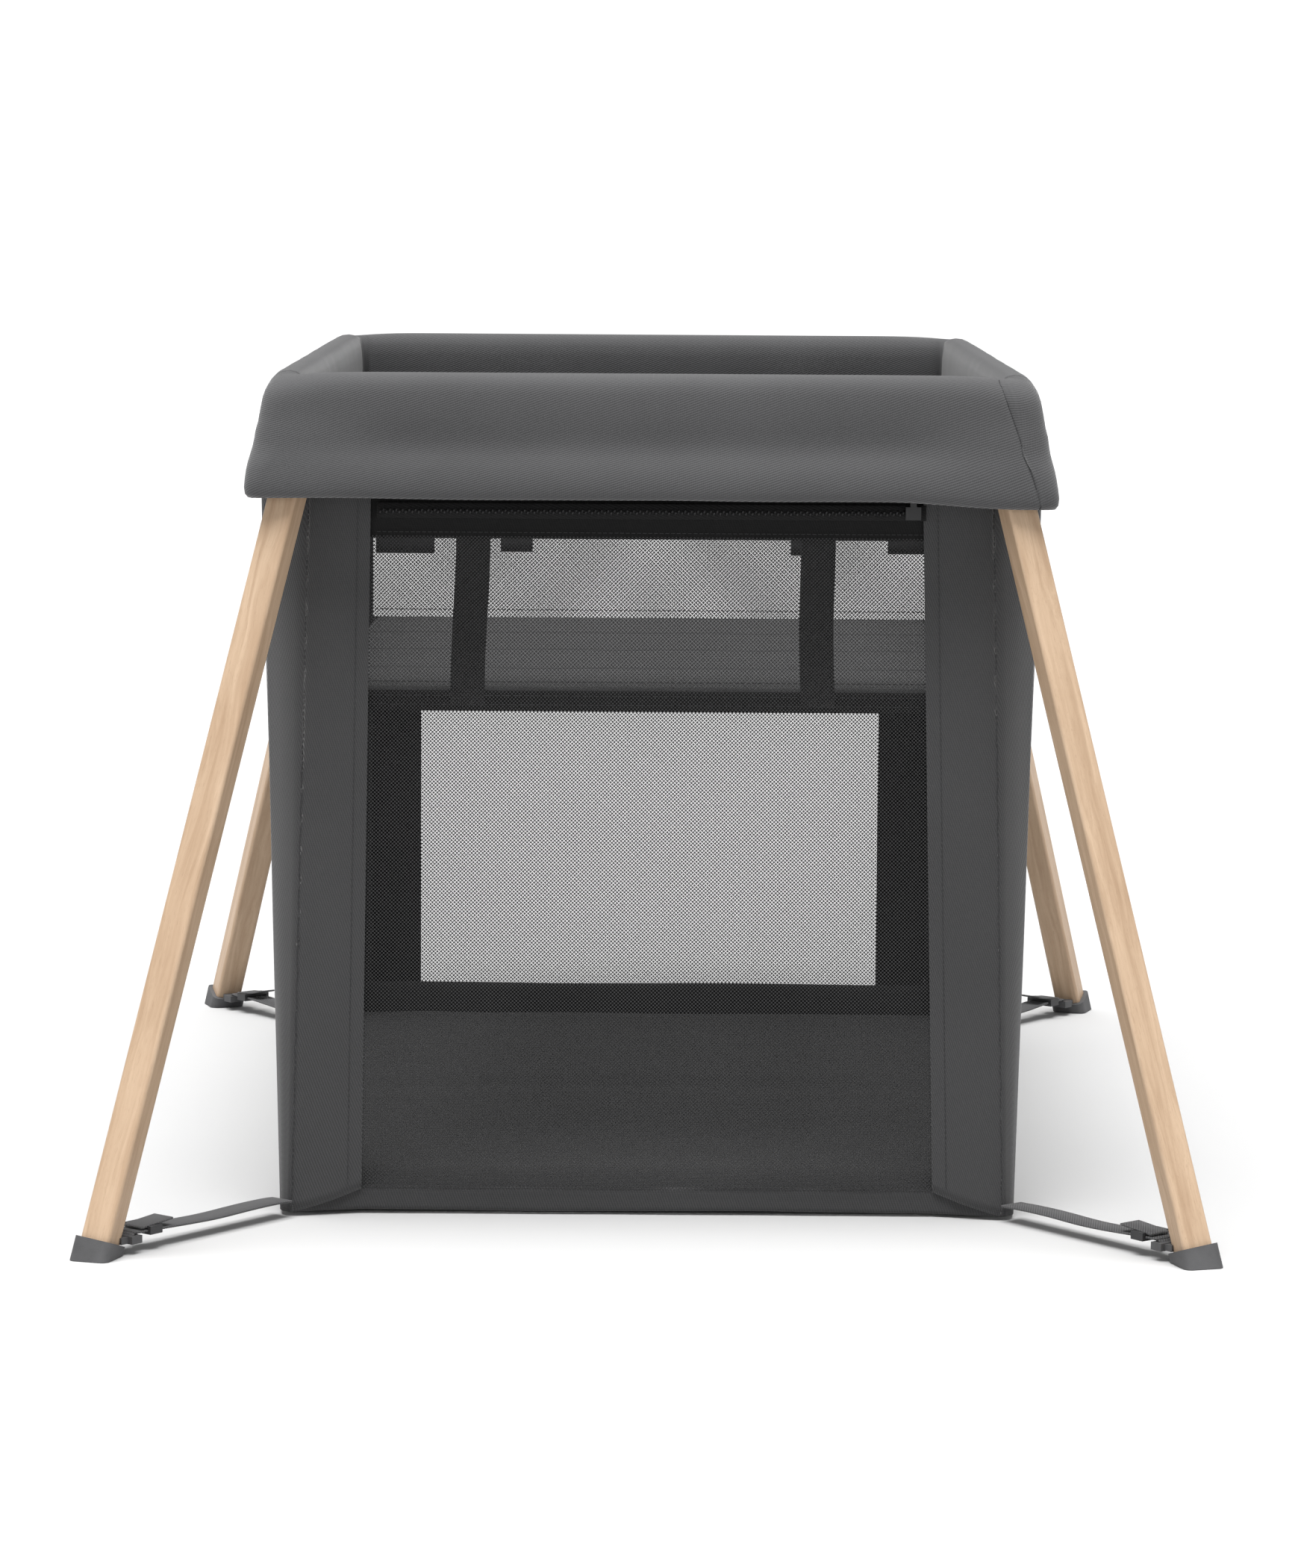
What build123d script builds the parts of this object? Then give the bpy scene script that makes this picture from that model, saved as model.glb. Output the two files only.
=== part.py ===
"""Travel play yard with a hung bassinet insert, one STEP file per sub-part, in millimetres.

Frame: +Z up from the floor, X across the short ends, Y along the long sides. The origin is on the
floor under the middle of the yard. "Front" is the short end at -Y and "left" is at -X.
The two end frames stay square. The side rails fold at their middles and draw the end frames together.
"""
import os
from math import atan, cos, degrees, hypot, radians, sin

from build123d import *

# --- driving dimensions -------------------------------------------------------------------------
RAIL_TOP = 665.0  # top of the padded rails
TUBE_R, TUBE_WALL = 11.0, 1.5  # aluminium rail tube
TUBE_Z = 640.0  # rail tube axis
SIDE_X, END_Y = 284.0, 434.0  # side rail and end rail tube axes
PIVOT_Y = 360.0  # side rail pivot in the corner hub
HINGE_Z = 652.0  # mid-rail hinge axis, just above the tubes
PIN_R, HINGE_PIN_R = 3.0, 2.0
RUN = 0.08  # radial running clearance
GAP = 0.3  # clearance between neighbouring pieces

LEG_X, LEG_Y, LEG_Z = 275.0, 430.0, 598.0  # leg pivot in the hub
FOOT_X, FOOT_Y = 418.0, 580.0  # where a leg's axis meets the floor
LEG_SIDE, LEG_EDGE_R = 24.0, 3.0  # square leg section
LEG_TWIST = 16.8  # turn of the section's front face outwards, degrees
CAP_SIDE, CAP_RISE, CAP_SOLE = 32.0, 13.0, 10.0  # rubber foot: rise and sole, along the leg
STUD_SIDE, STUD_L = 12.0, 22.0  # its stud inside the leg

COVER_BOTTOM = 570.0
COVER_OUT_X, COVER_OUT_Y = 317.0, 467.0  # cover's outer skirt at its lower edge
COVER_TOP_X, COVER_TOP_Y = 299.0, 449.0  # cover's outer face at the top
COVER_IN_X, COVER_IN_Y = 270.0, 403.0  # cover's inner faces
COVER_SKIN, COVER_ROUND = 2.5, 12.0
COVER_SPLIT_Y = 400.0  # where end covers meet side covers
INNER_FLAP_BOTTOM = 612.0

WALL_Y = 410.0  # end walls of the fabric box
BOX_BOTTOM, BOX_TOP = 2.0, 578.0
SEAM_LOW, SEAM_HIGH = 282.0, 268.0  # corner seam, half width at floor and rail
SIDE_LOW, SIDE_HIGH = 290.0, 306.0  # side walls, half width at floor and rail
CHAMFER_LOW, CHAMFER_HIGH = 410.0, 362.0  # where the corner chamfer meets the side wall
WINDOW_LOW, WINDOW_HIGH = 225.5, 217.5  # front mesh window, half width
REAR_WINDOW_LOW, REAR_WINDOW_HIGH = 262.0, 260.0  # rear mesh window, half width
BORDER_IN, BORDER_OUT, BORDER_HIGH = 216.0, 261.0, 390.0  # woven borders on the rear window
SIDE_SEAM_Y = 345.0
CLOTH = 2.0
BAND_LOW_FRONT, BAND_LOW_REAR = 22.0, 52.0  # top of the fabric band below the mesh window
BAND_HIGH = 536.0  # foot of the band above it
WALL_TOP = 622.0
FLOOR_CLOTH, FLOOR_PAD = 2.0, 26.0
FAR = 1000.0  # reach of a cut that goes right through the yard
TIP_Y = 422.0  # the box's lower corners are drawn forward by the tethers

MATTRESS_TOP, MATTRESS_T = 410.0, 14.0
PANEL_L, PANEL_HALF_W, PANELS = 194.0, 260.0, 4
BOARD_T = 3.0
BASSINET_Y, BASSINET_X, BASSINET_TOP = 399.0, 265.0, 560.0
BASSINET_CLOTH = 1.5
SLING_LOW = MATTRESS_TOP - MATTRESS_T - 2.6  # underside of the insert's cloth floor
TAB_T, TAB_LOW = 1.2, 461.0  # tabs inside the insert's rear wall
REAR_TABS = ((-258.0, -203.0), (-141.0, -111.0), (131.0, 152.0), (222.0, 257.0))  # left and right edges
STRAP_X, STRAP_W = 137.0, 27.0  # webbing on the bassinet's front wall
ZIP_Z, ZIP_HALF = 558.0, 214.0
ZIP_TAPE_HALF, ZIP_TAPE_T, ZIP_STANDOFF = 6.0, 1.1, 0.8  # the tape lies on the upper band
COIL_R, SLIDER_T, SLIDER_HALF, PULL_L = 1.1, 1.9, 6.0, 22.0
PARK_X = 204.0  # where the zipper slider rests

WEB_W, WEB_T = 22.0, 1.6  # tether webbing from foot to box corner
TETHER_Z = 11.0
LUG_REACH, LUG_W, LUG_L, LUG_T = 29.0, 30.0, 11.0, 6.0  # rubber loop that holds the tether
SLOT_Y, SLOT_L = 2.0, 5.0  # its slot, along the tether
WEB_RISE = 4.4  # the webbing lies this far above the loop's middle
BUCKLE_AT, BUCKLE_L, BUCKLE_T = 22.0, 13.0, 6.4  # slide buckle, measured from the loop

HUB_HALF = 11.0
HUB_FRONT, HUB_BACK = 448.0, 410.0
HUB_LOW, HUB_HIGH = 618.0, 651.0
HUB_SPIGOT = 30.0
HUB_ROUND, HUB_OUTER_ROUND = 4.0, 14.0
EYE_REACH = 10.0  # radius of the pivot eyes
EAR_IN, EAR_OUT = 6.3, 10.8  # the rail pivot's ears, either side of the tube axis
RAIL_TONGUE = 6.0  # half thickness
TONGUE_T, LEG_EAR_T, LEG_EYE_R = 16.0, 4.5, 8.0
SADDLE_L, SADDLE_LOW, SADDLE_HIGH = 20.0, 10.0, 21.0  # joins the hub to the leg's ears, above the pivot
COLLAR_START, COLLAR_T, PLUG_L, PLUG_SIDE = 20.0, 6.0, 34.0, 16.0

TUBE_START, TUBE_STOP = 338.0, 30.0  # ends of a half rail's tube, from the middle
HOUSING_HALF, HOUSING_LOW, HOUSING_HIGH = 11.0, 628.0, 651.0
HOUSING_SPIGOT = 22.0
KNUCKLE_R, KNUCKLE_IN = 5.0, 5.2
BUTTON_Y, BUTTON_R, BUTTON_LOW, BUTTON_L = 16.0, 5.4, 624.5, 9.5
BUTTON_BORE_TOP = 640.0
SPRING_R, SPRING_WIRE, SPRING_PITCH, SPRING_L = 3.4, 0.4, 1.5, 4.6
BOLT_HALF_W, BOLT_LOW, BOLT_HIGH = 4.0, 642.5, 646.5
BOLT_BACK, BOLT_TIP = 20.0, 4.0

os.makedirs("parts", exist_ok=True)


# --- helpers ------------------------------------------------------------------------------------
def save(name, *solids):
    """Write one sub-part; several solids share the file as one compound."""
    shape = solids[0] if len(solids) == 1 else Compound(list(solids))
    export_step(shape, f"parts/{name}.step")


def span(x0, x1, y0, y1, z0, z1):
    """A box given by its lowest and highest corners."""
    return Pos((x0 + x1) / 2, (y0 + y1) / 2, (z0 + z1) / 2) * Box(x1 - x0, y1 - y0, z1 - z0)


def rod_x(radius, x0, x1, y, z):
    return Pos((x0 + x1) / 2, y, z) * Rot(0, 90, 0) * Cylinder(radius, x1 - x0)


def rod_y(radius, x, y0, y1, z):
    return Pos(x, (y0 + y1) / 2, z) * Rot(90, 0, 0) * Cylinder(radius, y1 - y0)


def to_corner(shape, left, rear):
    """Carry a shape made for the right front corner to another corner."""
    if left:
        shape = mirror(shape, about=Plane.YZ)
    if rear:
        shape = mirror(shape, about=Plane.XZ)
    return shape


def corner_name(left, rear):
    return ("rear" if rear else "front") + ("_left" if left else "_right")


def tapered_block(low_x, low_y, high_x, high_y, z0, z1):
    """A frustum about the Z axis, given by half widths at its two ends."""
    low = Plane.XY.offset(z0) * Rectangle(2 * low_x, 2 * low_y)
    high = Plane.XY.offset(z1) * Rectangle(2 * high_x, 2 * high_y)
    return loft([low.face(), high.face()], ruled=True)


def between(low, high, z0, z1, z):
    return low + (high - low) * (z - z0) / (z1 - z0)


def offset_line(points, distance):
    """The polyline moved to its left by distance, with mitred corners."""
    moved = []
    for i, (x, y) in enumerate(points):
        before = points[max(i - 1, 0)]
        here = points[i]
        after = points[min(i + 1, len(points) - 1)]
        a = Vector(here[0] - before[0], here[1] - before[1])
        b = Vector(after[0] - here[0], after[1] - here[1])
        a = a.normalized() if a.length else b.normalized()
        b = b.normalized() if b.length else a
        normal = Vector(-(a.Y + b.Y), a.X + b.X).normalized()
        reach = distance / (normal.X * -a.Y + normal.Y * a.X)
        moved.append((x + normal.X * reach, y + normal.Y * reach))
    return moved


def cloth_wall(low_points, high_points, z0, z1, thickness):
    """A ruled sheet of cloth between two polylines, thick towards their left."""
    faces = []
    for z, points in ((z0, low_points), (z1, high_points)):
        ring = points + offset_line(points, thickness)[::-1]
        faces.append(Plane.XY.offset(z) * make_face(Polyline(ring, close=True)))
    return loft([f.face() for f in faces], ruled=True)


# --- leg geometry -------------------------------------------------------------------------------
LEG_PIVOT = Vector(LEG_X, -LEG_Y, LEG_Z)
LEG_DIR = (Vector(FOOT_X, -FOOT_Y, 0) - LEG_PIVOT).normalized()
LEG_LENGTH = (Vector(FOOT_X, -FOOT_Y, 0) - LEG_PIVOT).length
SPLAY_X, SPLAY_Y = FOOT_X - LEG_X, FOOT_Y - LEG_Y
LEG_AXIS = Vector(SPLAY_Y, SPLAY_X, 0).normalized()  # hinge axis, level and square to the splay
LEG_SPLAY = degrees(atan(hypot(SPLAY_X, SPLAY_Y) / LEG_Z))

face_line = Vector(cos(radians(LEG_TWIST)), sin(radians(LEG_TWIST)), 0)
LEG_PLANE = Plane(
    origin=LEG_PIVOT,
    x_dir=face_line - LEG_DIR * face_line.dot(LEG_DIR),
    z_dir=LEG_DIR,
)
HINGE_PLANE = Plane(origin=LEG_PIVOT, x_dir=LEG_AXIS, z_dir=LEG_DIR)

LEG_START = COLLAR_START + COLLAR_T
LEG_END = LEG_LENGTH - CAP_SOLE


def along_leg(plane, x, y, start, end, edge=0.0):
    """A square bar x by y in a leg's frame, from start to end below the pivot."""
    bar = Box(x, y, end - start, align=(Align.CENTER, Align.CENTER, Align.MIN))
    if edge:
        bar = fillet(bar.edges().filter_by(Axis.Z), edge)
    return plane * (Pos(0, 0, start) * bar)


def make_leg():
    leg = along_leg(LEG_PLANE, LEG_SIDE, LEG_SIDE, LEG_START, LEG_END, LEG_EDGE_R)
    pocket_side = PLUG_SIDE + 2 * RUN
    leg -= along_leg(LEG_PLANE, pocket_side, pocket_side, LEG_START, LEG_START + PLUG_L + 1)
    socket_side = STUD_SIDE + 2 * RUN
    return leg - along_leg(LEG_PLANE, socket_side, socket_side, LEG_END - STUD_L - 1, LEG_END)


def make_leg_insert():
    """Nylon end fitting: an eye for the pivot pin, a collar and a plug inside the leg."""
    tongue = along_leg(HINGE_PLANE, TONGUE_T, 2 * LEG_EYE_R, 0, COLLAR_START)
    eye = HINGE_PLANE * (Rot(0, 90, 0) * Cylinder(LEG_EYE_R, TONGUE_T))
    collar = along_leg(LEG_PLANE, LEG_SIDE, LEG_SIDE, COLLAR_START, LEG_START, LEG_EDGE_R)
    plug = along_leg(LEG_PLANE, PLUG_SIDE, PLUG_SIDE, LEG_START, LEG_START + PLUG_L)
    bore = HINGE_PLANE * (Rot(0, 90, 0) * Cylinder(PIN_R + RUN, TONGUE_T + 2))
    return tongue + eye + collar + plug - bore


# the tether runs from the foot to the box's lower corner; its frame's +Y points to the corner
CORNER_TIP = Vector(SIDE_LOW, -TIP_Y, TETHER_Z)
FOOT_POINT = Vector(FOOT_X, -FOOT_Y, TETHER_Z)
TETHER_DIR = (CORNER_TIP - FOOT_POINT).normalized()
TETHER_SPAN = (CORNER_TIP - FOOT_POINT).length
TETHER_PLANE = Plane(
    origin=FOOT_POINT + TETHER_DIR * LUG_REACH,
    x_dir=Vector(TETHER_DIR.Y, -TETHER_DIR.X, 0),
    z_dir=(0, 0, 1),
)


def make_foot_cap():
    """Rubber foot with a lip round the leg's end, a stud inside it and a loop for the tether."""
    socket_side = LEG_SIDE + 0.2
    boot = along_leg(LEG_PLANE, CAP_SIDE, CAP_SIDE, LEG_LENGTH - CAP_RISE, LEG_LENGTH + 20, 6)
    boot &= span(0, FAR, -FAR, 0, 0, FAR)
    boot -= along_leg(LEG_PLANE, socket_side, socket_side, LEG_START, LEG_END + 0.1, LEG_EDGE_R)
    boot += along_leg(LEG_PLANE, STUD_SIDE, STUD_SIDE, LEG_END - STUD_L, LEG_END + 1)
    lug = TETHER_PLANE * Box(LUG_W, LUG_L, LUG_T)
    slot = TETHER_PLANE * (Pos(0, SLOT_Y, 0) * Box(WEB_W + 1.5, SLOT_L, LUG_T + 2))
    reach = TETHER_PLANE * (Pos(0, -9, 0) * Box(WEB_W, 8, LUG_T - 1))
    reach -= along_leg(LEG_PLANE, socket_side, socket_side, LEG_START, LEG_END + 0.1)
    return boot + reach + lug - slot


def make_tether():
    start, end = SLOT_Y + 1.2, TETHER_SPAN - LUG_REACH - 4.0
    strip = Box(WEB_W, end - start, WEB_T)
    return TETHER_PLANE * (Pos(0, (start + end) / 2, WEB_RISE) * strip)


def make_buckle():
    sleeve = Box(WEB_W + 6, BUCKLE_L, BUCKLE_T) - Box(WEB_W + 1, BUCKLE_L + 1, WEB_T + 1)
    return TETHER_PLANE * (Pos(0, BUCKLE_AT, WEB_RISE) * sleeve)


# --- corner hubs and end rails ------------------------------------------------------------------
def make_hub():
    """Moulded corner: a spigot for the end rail, ears for the side rail and ears for the leg."""
    low, high = SIDE_X - HUB_HALF, SIDE_X + HUB_HALF
    block = span(low, high, -HUB_FRONT, -HUB_BACK, HUB_LOW, HUB_HIGH)
    upright = block.edges().filter_by(Axis.Z)
    outer = upright.sort_by(lambda edge: edge.center().X - edge.center().Y)[-1]
    block = fillet([edge for edge in upright if edge != outer], HUB_ROUND)
    outer = block.edges().filter_by(Axis.Z).sort_by(lambda edge: edge.center().X - edge.center().Y)[-1]
    block = fillet(outer, HUB_OUTER_ROUND)
    spigot = rod_x(TUBE_R - TUBE_WALL - 0.1, low - HUB_SPIGOT, SIDE_X, -END_Y, TUBE_Z)
    hub = block + spigot
    for side in (-1, 1):
        near, far = sorted((SIDE_X + side * EAR_IN, SIDE_X + side * EAR_OUT))
        ear = span(near, far, -HUB_BACK - 2, -PIVOT_Y, TUBE_Z - EYE_REACH, TUBE_Z + EYE_REACH)
        hub += ear + rod_x(EYE_REACH, near, far, -PIVOT_Y, TUBE_Z)
    hub -= rod_x(PIN_R + RUN, SIDE_X - 20, SIDE_X + 20, -PIVOT_Y, TUBE_Z)
    level = Plane(origin=LEG_PIVOT, x_dir=LEG_AXIS, z_dir=(0, 0, 1))
    width = TONGUE_T + 2 * (GAP + LEG_EAR_T)
    saddle_mid = (SADDLE_LOW + SADDLE_HIGH) / 2
    hub += level * (Pos(0, 0, saddle_mid) * Box(width, SADDLE_L, SADDLE_HIGH - SADDLE_LOW))
    for side in (-1, 1):
        centre = side * (TONGUE_T / 2 + GAP + LEG_EAR_T / 2)
        hub += level * (Pos(centre, 0, SADDLE_HIGH / 2 - 2.5) * Box(LEG_EAR_T, SADDLE_L, SADDLE_HIGH - 5))
        hub += level * (Pos(centre, 0, 0) * Rot(0, 90, 0) * Cylinder(EYE_REACH, LEG_EAR_T))
    return hub - level * (Rot(0, 90, 0) * Cylinder(PIN_R + RUN, width + 2))


def make_hub_pins():
    side_pin = rod_x(PIN_R, SIDE_X - EAR_OUT, SIDE_X + EAR_OUT, -PIVOT_Y, TUBE_Z)
    length = TONGUE_T + 2 * (GAP + LEG_EAR_T)
    leg_pin = HINGE_PLANE * (Rot(0, 90, 0) * Cylinder(PIN_R, length))
    return side_pin, leg_pin


def make_end_rail():
    reach = SIDE_X - HUB_HALF - 0.2
    tube = rod_x(TUBE_R, -reach, reach, -END_Y, TUBE_Z)
    return tube - rod_x(TUBE_R - TUBE_WALL, -reach - 1, reach + 1, -END_Y, TUBE_Z)


# --- side rails and mid-rail hinge ----------------------------------------------------------------
def make_rail_tube():
    """Front half of a side rail: a tube with a swaged tongue at the hub."""
    tube = rod_y(TUBE_R, SIDE_X, -TUBE_START, -TUBE_STOP, TUBE_Z)
    tube -= rod_y(TUBE_R - TUBE_WALL, SIDE_X, -TUBE_START + 8, -TUBE_STOP + 1, TUBE_Z)
    low, high = TUBE_Z - EYE_REACH, TUBE_Z + EYE_REACH
    inner, outer = SIDE_X - RAIL_TONGUE, SIDE_X + RAIL_TONGUE
    tongue = span(inner, outer, -PIVOT_Y, -TUBE_START + 1, low, high)
    tongue += rod_x(EYE_REACH, inner, outer, -PIVOT_Y, TUBE_Z)
    return tube + tongue - rod_x(PIN_R + RUN, inner - 1, outer + 1, -PIVOT_Y, TUBE_Z)


def housing_body():
    low, high = SIDE_X - HOUSING_HALF, SIDE_X + HOUSING_HALF
    body = span(low, high, -TUBE_STOP + 0.2, -0.5, HOUSING_LOW, HOUSING_HIGH)
    body = fillet(body.edges().filter_by(Axis.Y), 3)
    spigot_r = TUBE_R - TUBE_WALL - 0.1
    return body + rod_y(spigot_r, SIDE_X, -TUBE_STOP - HOUSING_SPIGOT, -TUBE_STOP + 1, TUBE_Z)


def knuckle(x0, x1):
    web = span(x0, x1, -10, -0.5, TUBE_Z, HOUSING_HIGH + 0.4)
    return web + rod_x(KNUCKLE_R, x0, x1, 0, HINGE_Z)


def make_front_housing():
    """Front half of the hinge: outer knuckles, the button's bore and the bolt's channel."""
    low, high = SIDE_X - HOUSING_HALF, SIDE_X + HOUSING_HALF
    inner_low, inner_high = SIDE_X - KNUCKLE_IN, SIDE_X + KNUCKLE_IN
    body = housing_body()
    body -= rod_x(KNUCKLE_R + 0.4, inner_low, inner_high, 0, HINGE_Z)
    body += knuckle(low, inner_low - 0.2) + knuckle(inner_high + 0.2, high)
    body -= rod_x(HINGE_PIN_R + RUN, low - 1, high + 1, 0, HINGE_Z)
    bore_depth = BUTTON_BORE_TOP - HOUSING_LOW + 1
    bore = Cylinder(BUTTON_R + 0.2, bore_depth)
    body -= Pos(SIDE_X, -BUTTON_Y, BUTTON_BORE_TOP - bore_depth / 2) * bore
    bolt_half = BOLT_HALF_W + 0.2
    return body - span(
        SIDE_X - bolt_half, SIDE_X + bolt_half, -BOLT_BACK - 8, 0, BOLT_LOW - 0.2, BOLT_HIGH + 0.2
    )


def make_rear_housing():
    """Rear half of the hinge: the middle knuckle and the bolt's pocket."""
    low, high = SIDE_X - HOUSING_HALF, SIDE_X + HOUSING_HALF
    inner_low, inner_high = SIDE_X - KNUCKLE_IN, SIDE_X + KNUCKLE_IN
    body = housing_body()
    for x0, x1 in ((low - 1, inner_low), (inner_high, high + 1)):
        body -= rod_x(KNUCKLE_R + 0.4, x0, x1, 0, HINGE_Z)
    body += knuckle(inner_low + 0.2, inner_high - 0.2)
    body -= rod_x(HINGE_PIN_R + RUN, low - 1, high + 1, 0, HINGE_Z)
    bolt_half = BOLT_HALF_W + 0.6
    body -= span(SIDE_X - bolt_half, SIDE_X + bolt_half, -BOLT_TIP - 2, 0, BOLT_LOW - 1, BOLT_HIGH + 1)
    return mirror(body, about=Plane.XZ)


def make_button():
    stem = Pos(SIDE_X, -BUTTON_Y, BUTTON_LOW + BUTTON_L / 2) * Cylinder(BUTTON_R, BUTTON_L)
    return fillet(stem.edges().filter_by(GeomType.CIRCLE).sort_by(Axis.Z)[0], 1.5)


def make_button_spring():
    coil = Helix(pitch=SPRING_PITCH, height=SPRING_L, radius=SPRING_R)
    wire = Plane(origin=coil @ 0, z_dir=coil % 0) * Circle(SPRING_WIRE)
    return Pos(SIDE_X, -BUTTON_Y, BUTTON_LOW + BUTTON_L + 0.8) * sweep(wire, path=coil)


def make_latch_bolt():
    bolt = span(SIDE_X - BOLT_HALF_W, SIDE_X + BOLT_HALF_W, -BOLT_BACK, BOLT_TIP, BOLT_LOW, BOLT_HIGH)
    return fillet(bolt.edges().filter_by(Axis.X).group_by(Axis.Y)[-1], 1)


# --- padded rail covers ---------------------------------------------------------------------------
def make_cover_ring():
    """The whole padded cover before it is cut at the corners and the hinges."""
    ring = tapered_block(
        COVER_OUT_X, COVER_OUT_Y, COVER_TOP_X, COVER_TOP_Y, COVER_BOTTOM, RAIL_TOP
    )
    hole_low = COVER_BOTTOM - 1
    ring -= span(-COVER_IN_X, COVER_IN_X, -COVER_IN_Y, COVER_IN_Y, hole_low, RAIL_TOP + 1)
    top = [e for e in ring.edges() if abs(e.center().Z - RAIL_TOP) < 0.01]
    ring = fillet(top, COVER_ROUND)
    skin = COVER_SKIN
    channel = tapered_block(
        COVER_OUT_X - skin, COVER_OUT_Y - skin, COVER_TOP_X - skin, COVER_TOP_Y - skin,
        hole_low, RAIL_TOP,
    )
    channel &= span(-FAR, FAR, -FAR, FAR, hole_low, HUB_HIGH + 0.5)
    in_x, in_y = COVER_IN_X + skin, COVER_IN_Y + skin
    ring -= channel - span(-in_x, in_x, -in_y, in_y, hole_low, RAIL_TOP)
    ring -= span(-in_x, in_x, -in_y, in_y, hole_low, INNER_FLAP_BOTTOM)
    for x in (-SIDE_X, SIDE_X):
        ring -= Pos(x, 0, HINGE_Z) * Box(2 * HOUSING_HALF + 1, 24, 15)  # room for the knuckles
    return ring


# --- fabric box -----------------------------------------------------------------------------------
def make_corner_panel(window_low, window_high):
    low = [(window_low + 1, -WALL_Y), (SEAM_LOW, -TIP_Y), (SIDE_LOW, -CHAMFER_LOW),
           (SIDE_LOW, -SIDE_SEAM_Y)]
    high = [(window_high + 1, -WALL_Y), (SEAM_HIGH, -WALL_Y), (SIDE_HIGH, -CHAMFER_HIGH),
            (SIDE_HIGH, -SIDE_SEAM_Y)]
    return cloth_wall(low, high, BOX_BOTTOM, BOX_TOP, CLOTH)


def make_end_wall(band_low, window_low, window_high):
    """Mesh window with the fabric bands sewn below and above it."""
    pieces = []
    for z0, z1 in ((BOX_BOTTOM, band_low), (band_low, BAND_HIGH), (BAND_HIGH, WALL_TOP)):
        low = between(window_low, window_high, BOX_BOTTOM, BOX_TOP, z0)
        high = between(window_low, window_high, BOX_BOTTOM, BOX_TOP, min(z1, BOX_TOP))
        pieces.append(
            cloth_wall([(-low, -WALL_Y), (low, -WALL_Y)], [(-high, -WALL_Y), (high, -WALL_Y)],
                       z0, z1, CLOTH)
        )
    return pieces


def make_window_borders():
    """Woven borders on the outside of the rear window, beside its lower part."""
    front = -WALL_Y - 0.2
    return [
        span(*sorted((side * BORDER_IN, side * BORDER_OUT)), front - 1, front, BAND_LOW_REAR, BORDER_HIGH)
        for side in (-1, 1)
    ]


def make_side_wall():
    reach = SIDE_SEAM_Y - GAP
    low, high = [(SIDE_LOW, -reach), (SIDE_LOW, reach)], [(SIDE_HIGH, -reach), (SIDE_HIGH, reach)]
    return cloth_wall(low, high, BOX_BOTTOM, BOX_TOP, CLOTH)


def make_floor():
    """The box's floor cloth with a foam pad on it."""
    x, y = SIDE_LOW - CLOTH - 0.6, WALL_Y - CLOTH - 0.6
    cloth = span(-x, x, -y, y, BOX_BOTTOM, BOX_BOTTOM + FLOOR_CLOTH)
    pad_low = BOX_BOTTOM + FLOOR_CLOTH + 0.1
    pad = span(-x + 3, x - 3, -y + 3, y - 3, pad_low, BOX_BOTTOM + FLOOR_CLOTH + FLOOR_PAD)
    return [cloth, fillet(pad.edges().filter_by(Axis.Z), 12)]


# --- bassinet insert and mattress -----------------------------------------------------------------
def make_insert_wall():
    """The insert's mesh end wall, at the front."""
    return span(-BASSINET_X + 1.8, BASSINET_X - 1.8, -BASSINET_Y, -BASSINET_Y + BASSINET_CLOTH,
                SLING_LOW, BASSINET_TOP)


def make_insert_straps():
    """Two straps down the outside of the insert's front wall."""
    low = MATTRESS_TOP - MATTRESS_T
    return [
        span(x - STRAP_W / 2, x + STRAP_W / 2, -BASSINET_Y - 1.8, -BASSINET_Y - 0.2,
             low, BASSINET_TOP - 10)
        for x in (-STRAP_X, STRAP_X)
    ]


def make_zipper():
    """Tape and coil on the outer face of the front wall's upper band."""
    tape_back = -WALL_Y - ZIP_STANDOFF
    tape_front = tape_back - ZIP_TAPE_T
    low, high = ZIP_Z - ZIP_TAPE_HALF, ZIP_Z + ZIP_TAPE_HALF
    tape = span(-ZIP_HALF, ZIP_HALF, tape_front, tape_back, low, high)
    coil = rod_x(COIL_R, -ZIP_HALF, ZIP_HALF, tape_front - COIL_R - 0.1, ZIP_Z)
    return [tape, coil]


def make_zipper_slider():
    """The slider, with its pull turned up behind the cover's skirt."""
    back = -WALL_Y - ZIP_STANDOFF - ZIP_TAPE_T - 2 * COIL_R - 0.4
    front = back - SLIDER_T
    low, high = ZIP_Z - SLIDER_HALF + 1, ZIP_Z + SLIDER_HALF - 1
    slider = span(PARK_X - SLIDER_HALF, PARK_X + SLIDER_HALF, front, back, low, high)
    pull = span(PARK_X - 2.5, PARK_X + 2.5, front, front + 1.2, high - 1, high + PULL_L - 1)
    return slider + pull


def make_sling():
    """Side walls and floor of the insert, sewn as one trough."""
    y = BASSINET_Y - BASSINET_CLOTH - 0.4
    trough = span(-BASSINET_X, BASSINET_X, -y, y, SLING_LOW, BASSINET_TOP)
    inner = BASSINET_X - BASSINET_CLOTH
    return trough - span(-inner, inner, -y - 1, y + 1, SLING_LOW + 2, BASSINET_TOP + 1)


def make_mattress_panel(number):
    """A foam pad with a stiffening board let into its underside."""
    y0 = (number - PANELS / 2) * PANEL_L + 0.2
    y1 = y0 + PANEL_L - 0.4
    low = MATTRESS_TOP - MATTRESS_T
    pad = span(-PANEL_HALF_W, PANEL_HALF_W, y0, y1, low, MATTRESS_TOP)
    pad = fillet(pad.edges().filter_by(Axis.Z), 1.5)
    board = span(-PANEL_HALF_W + 12, PANEL_HALF_W - 12, y0 + 8, y1 - 8, low + 0.5, low + 0.5 + BOARD_T)
    return [pad - board, board]


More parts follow.
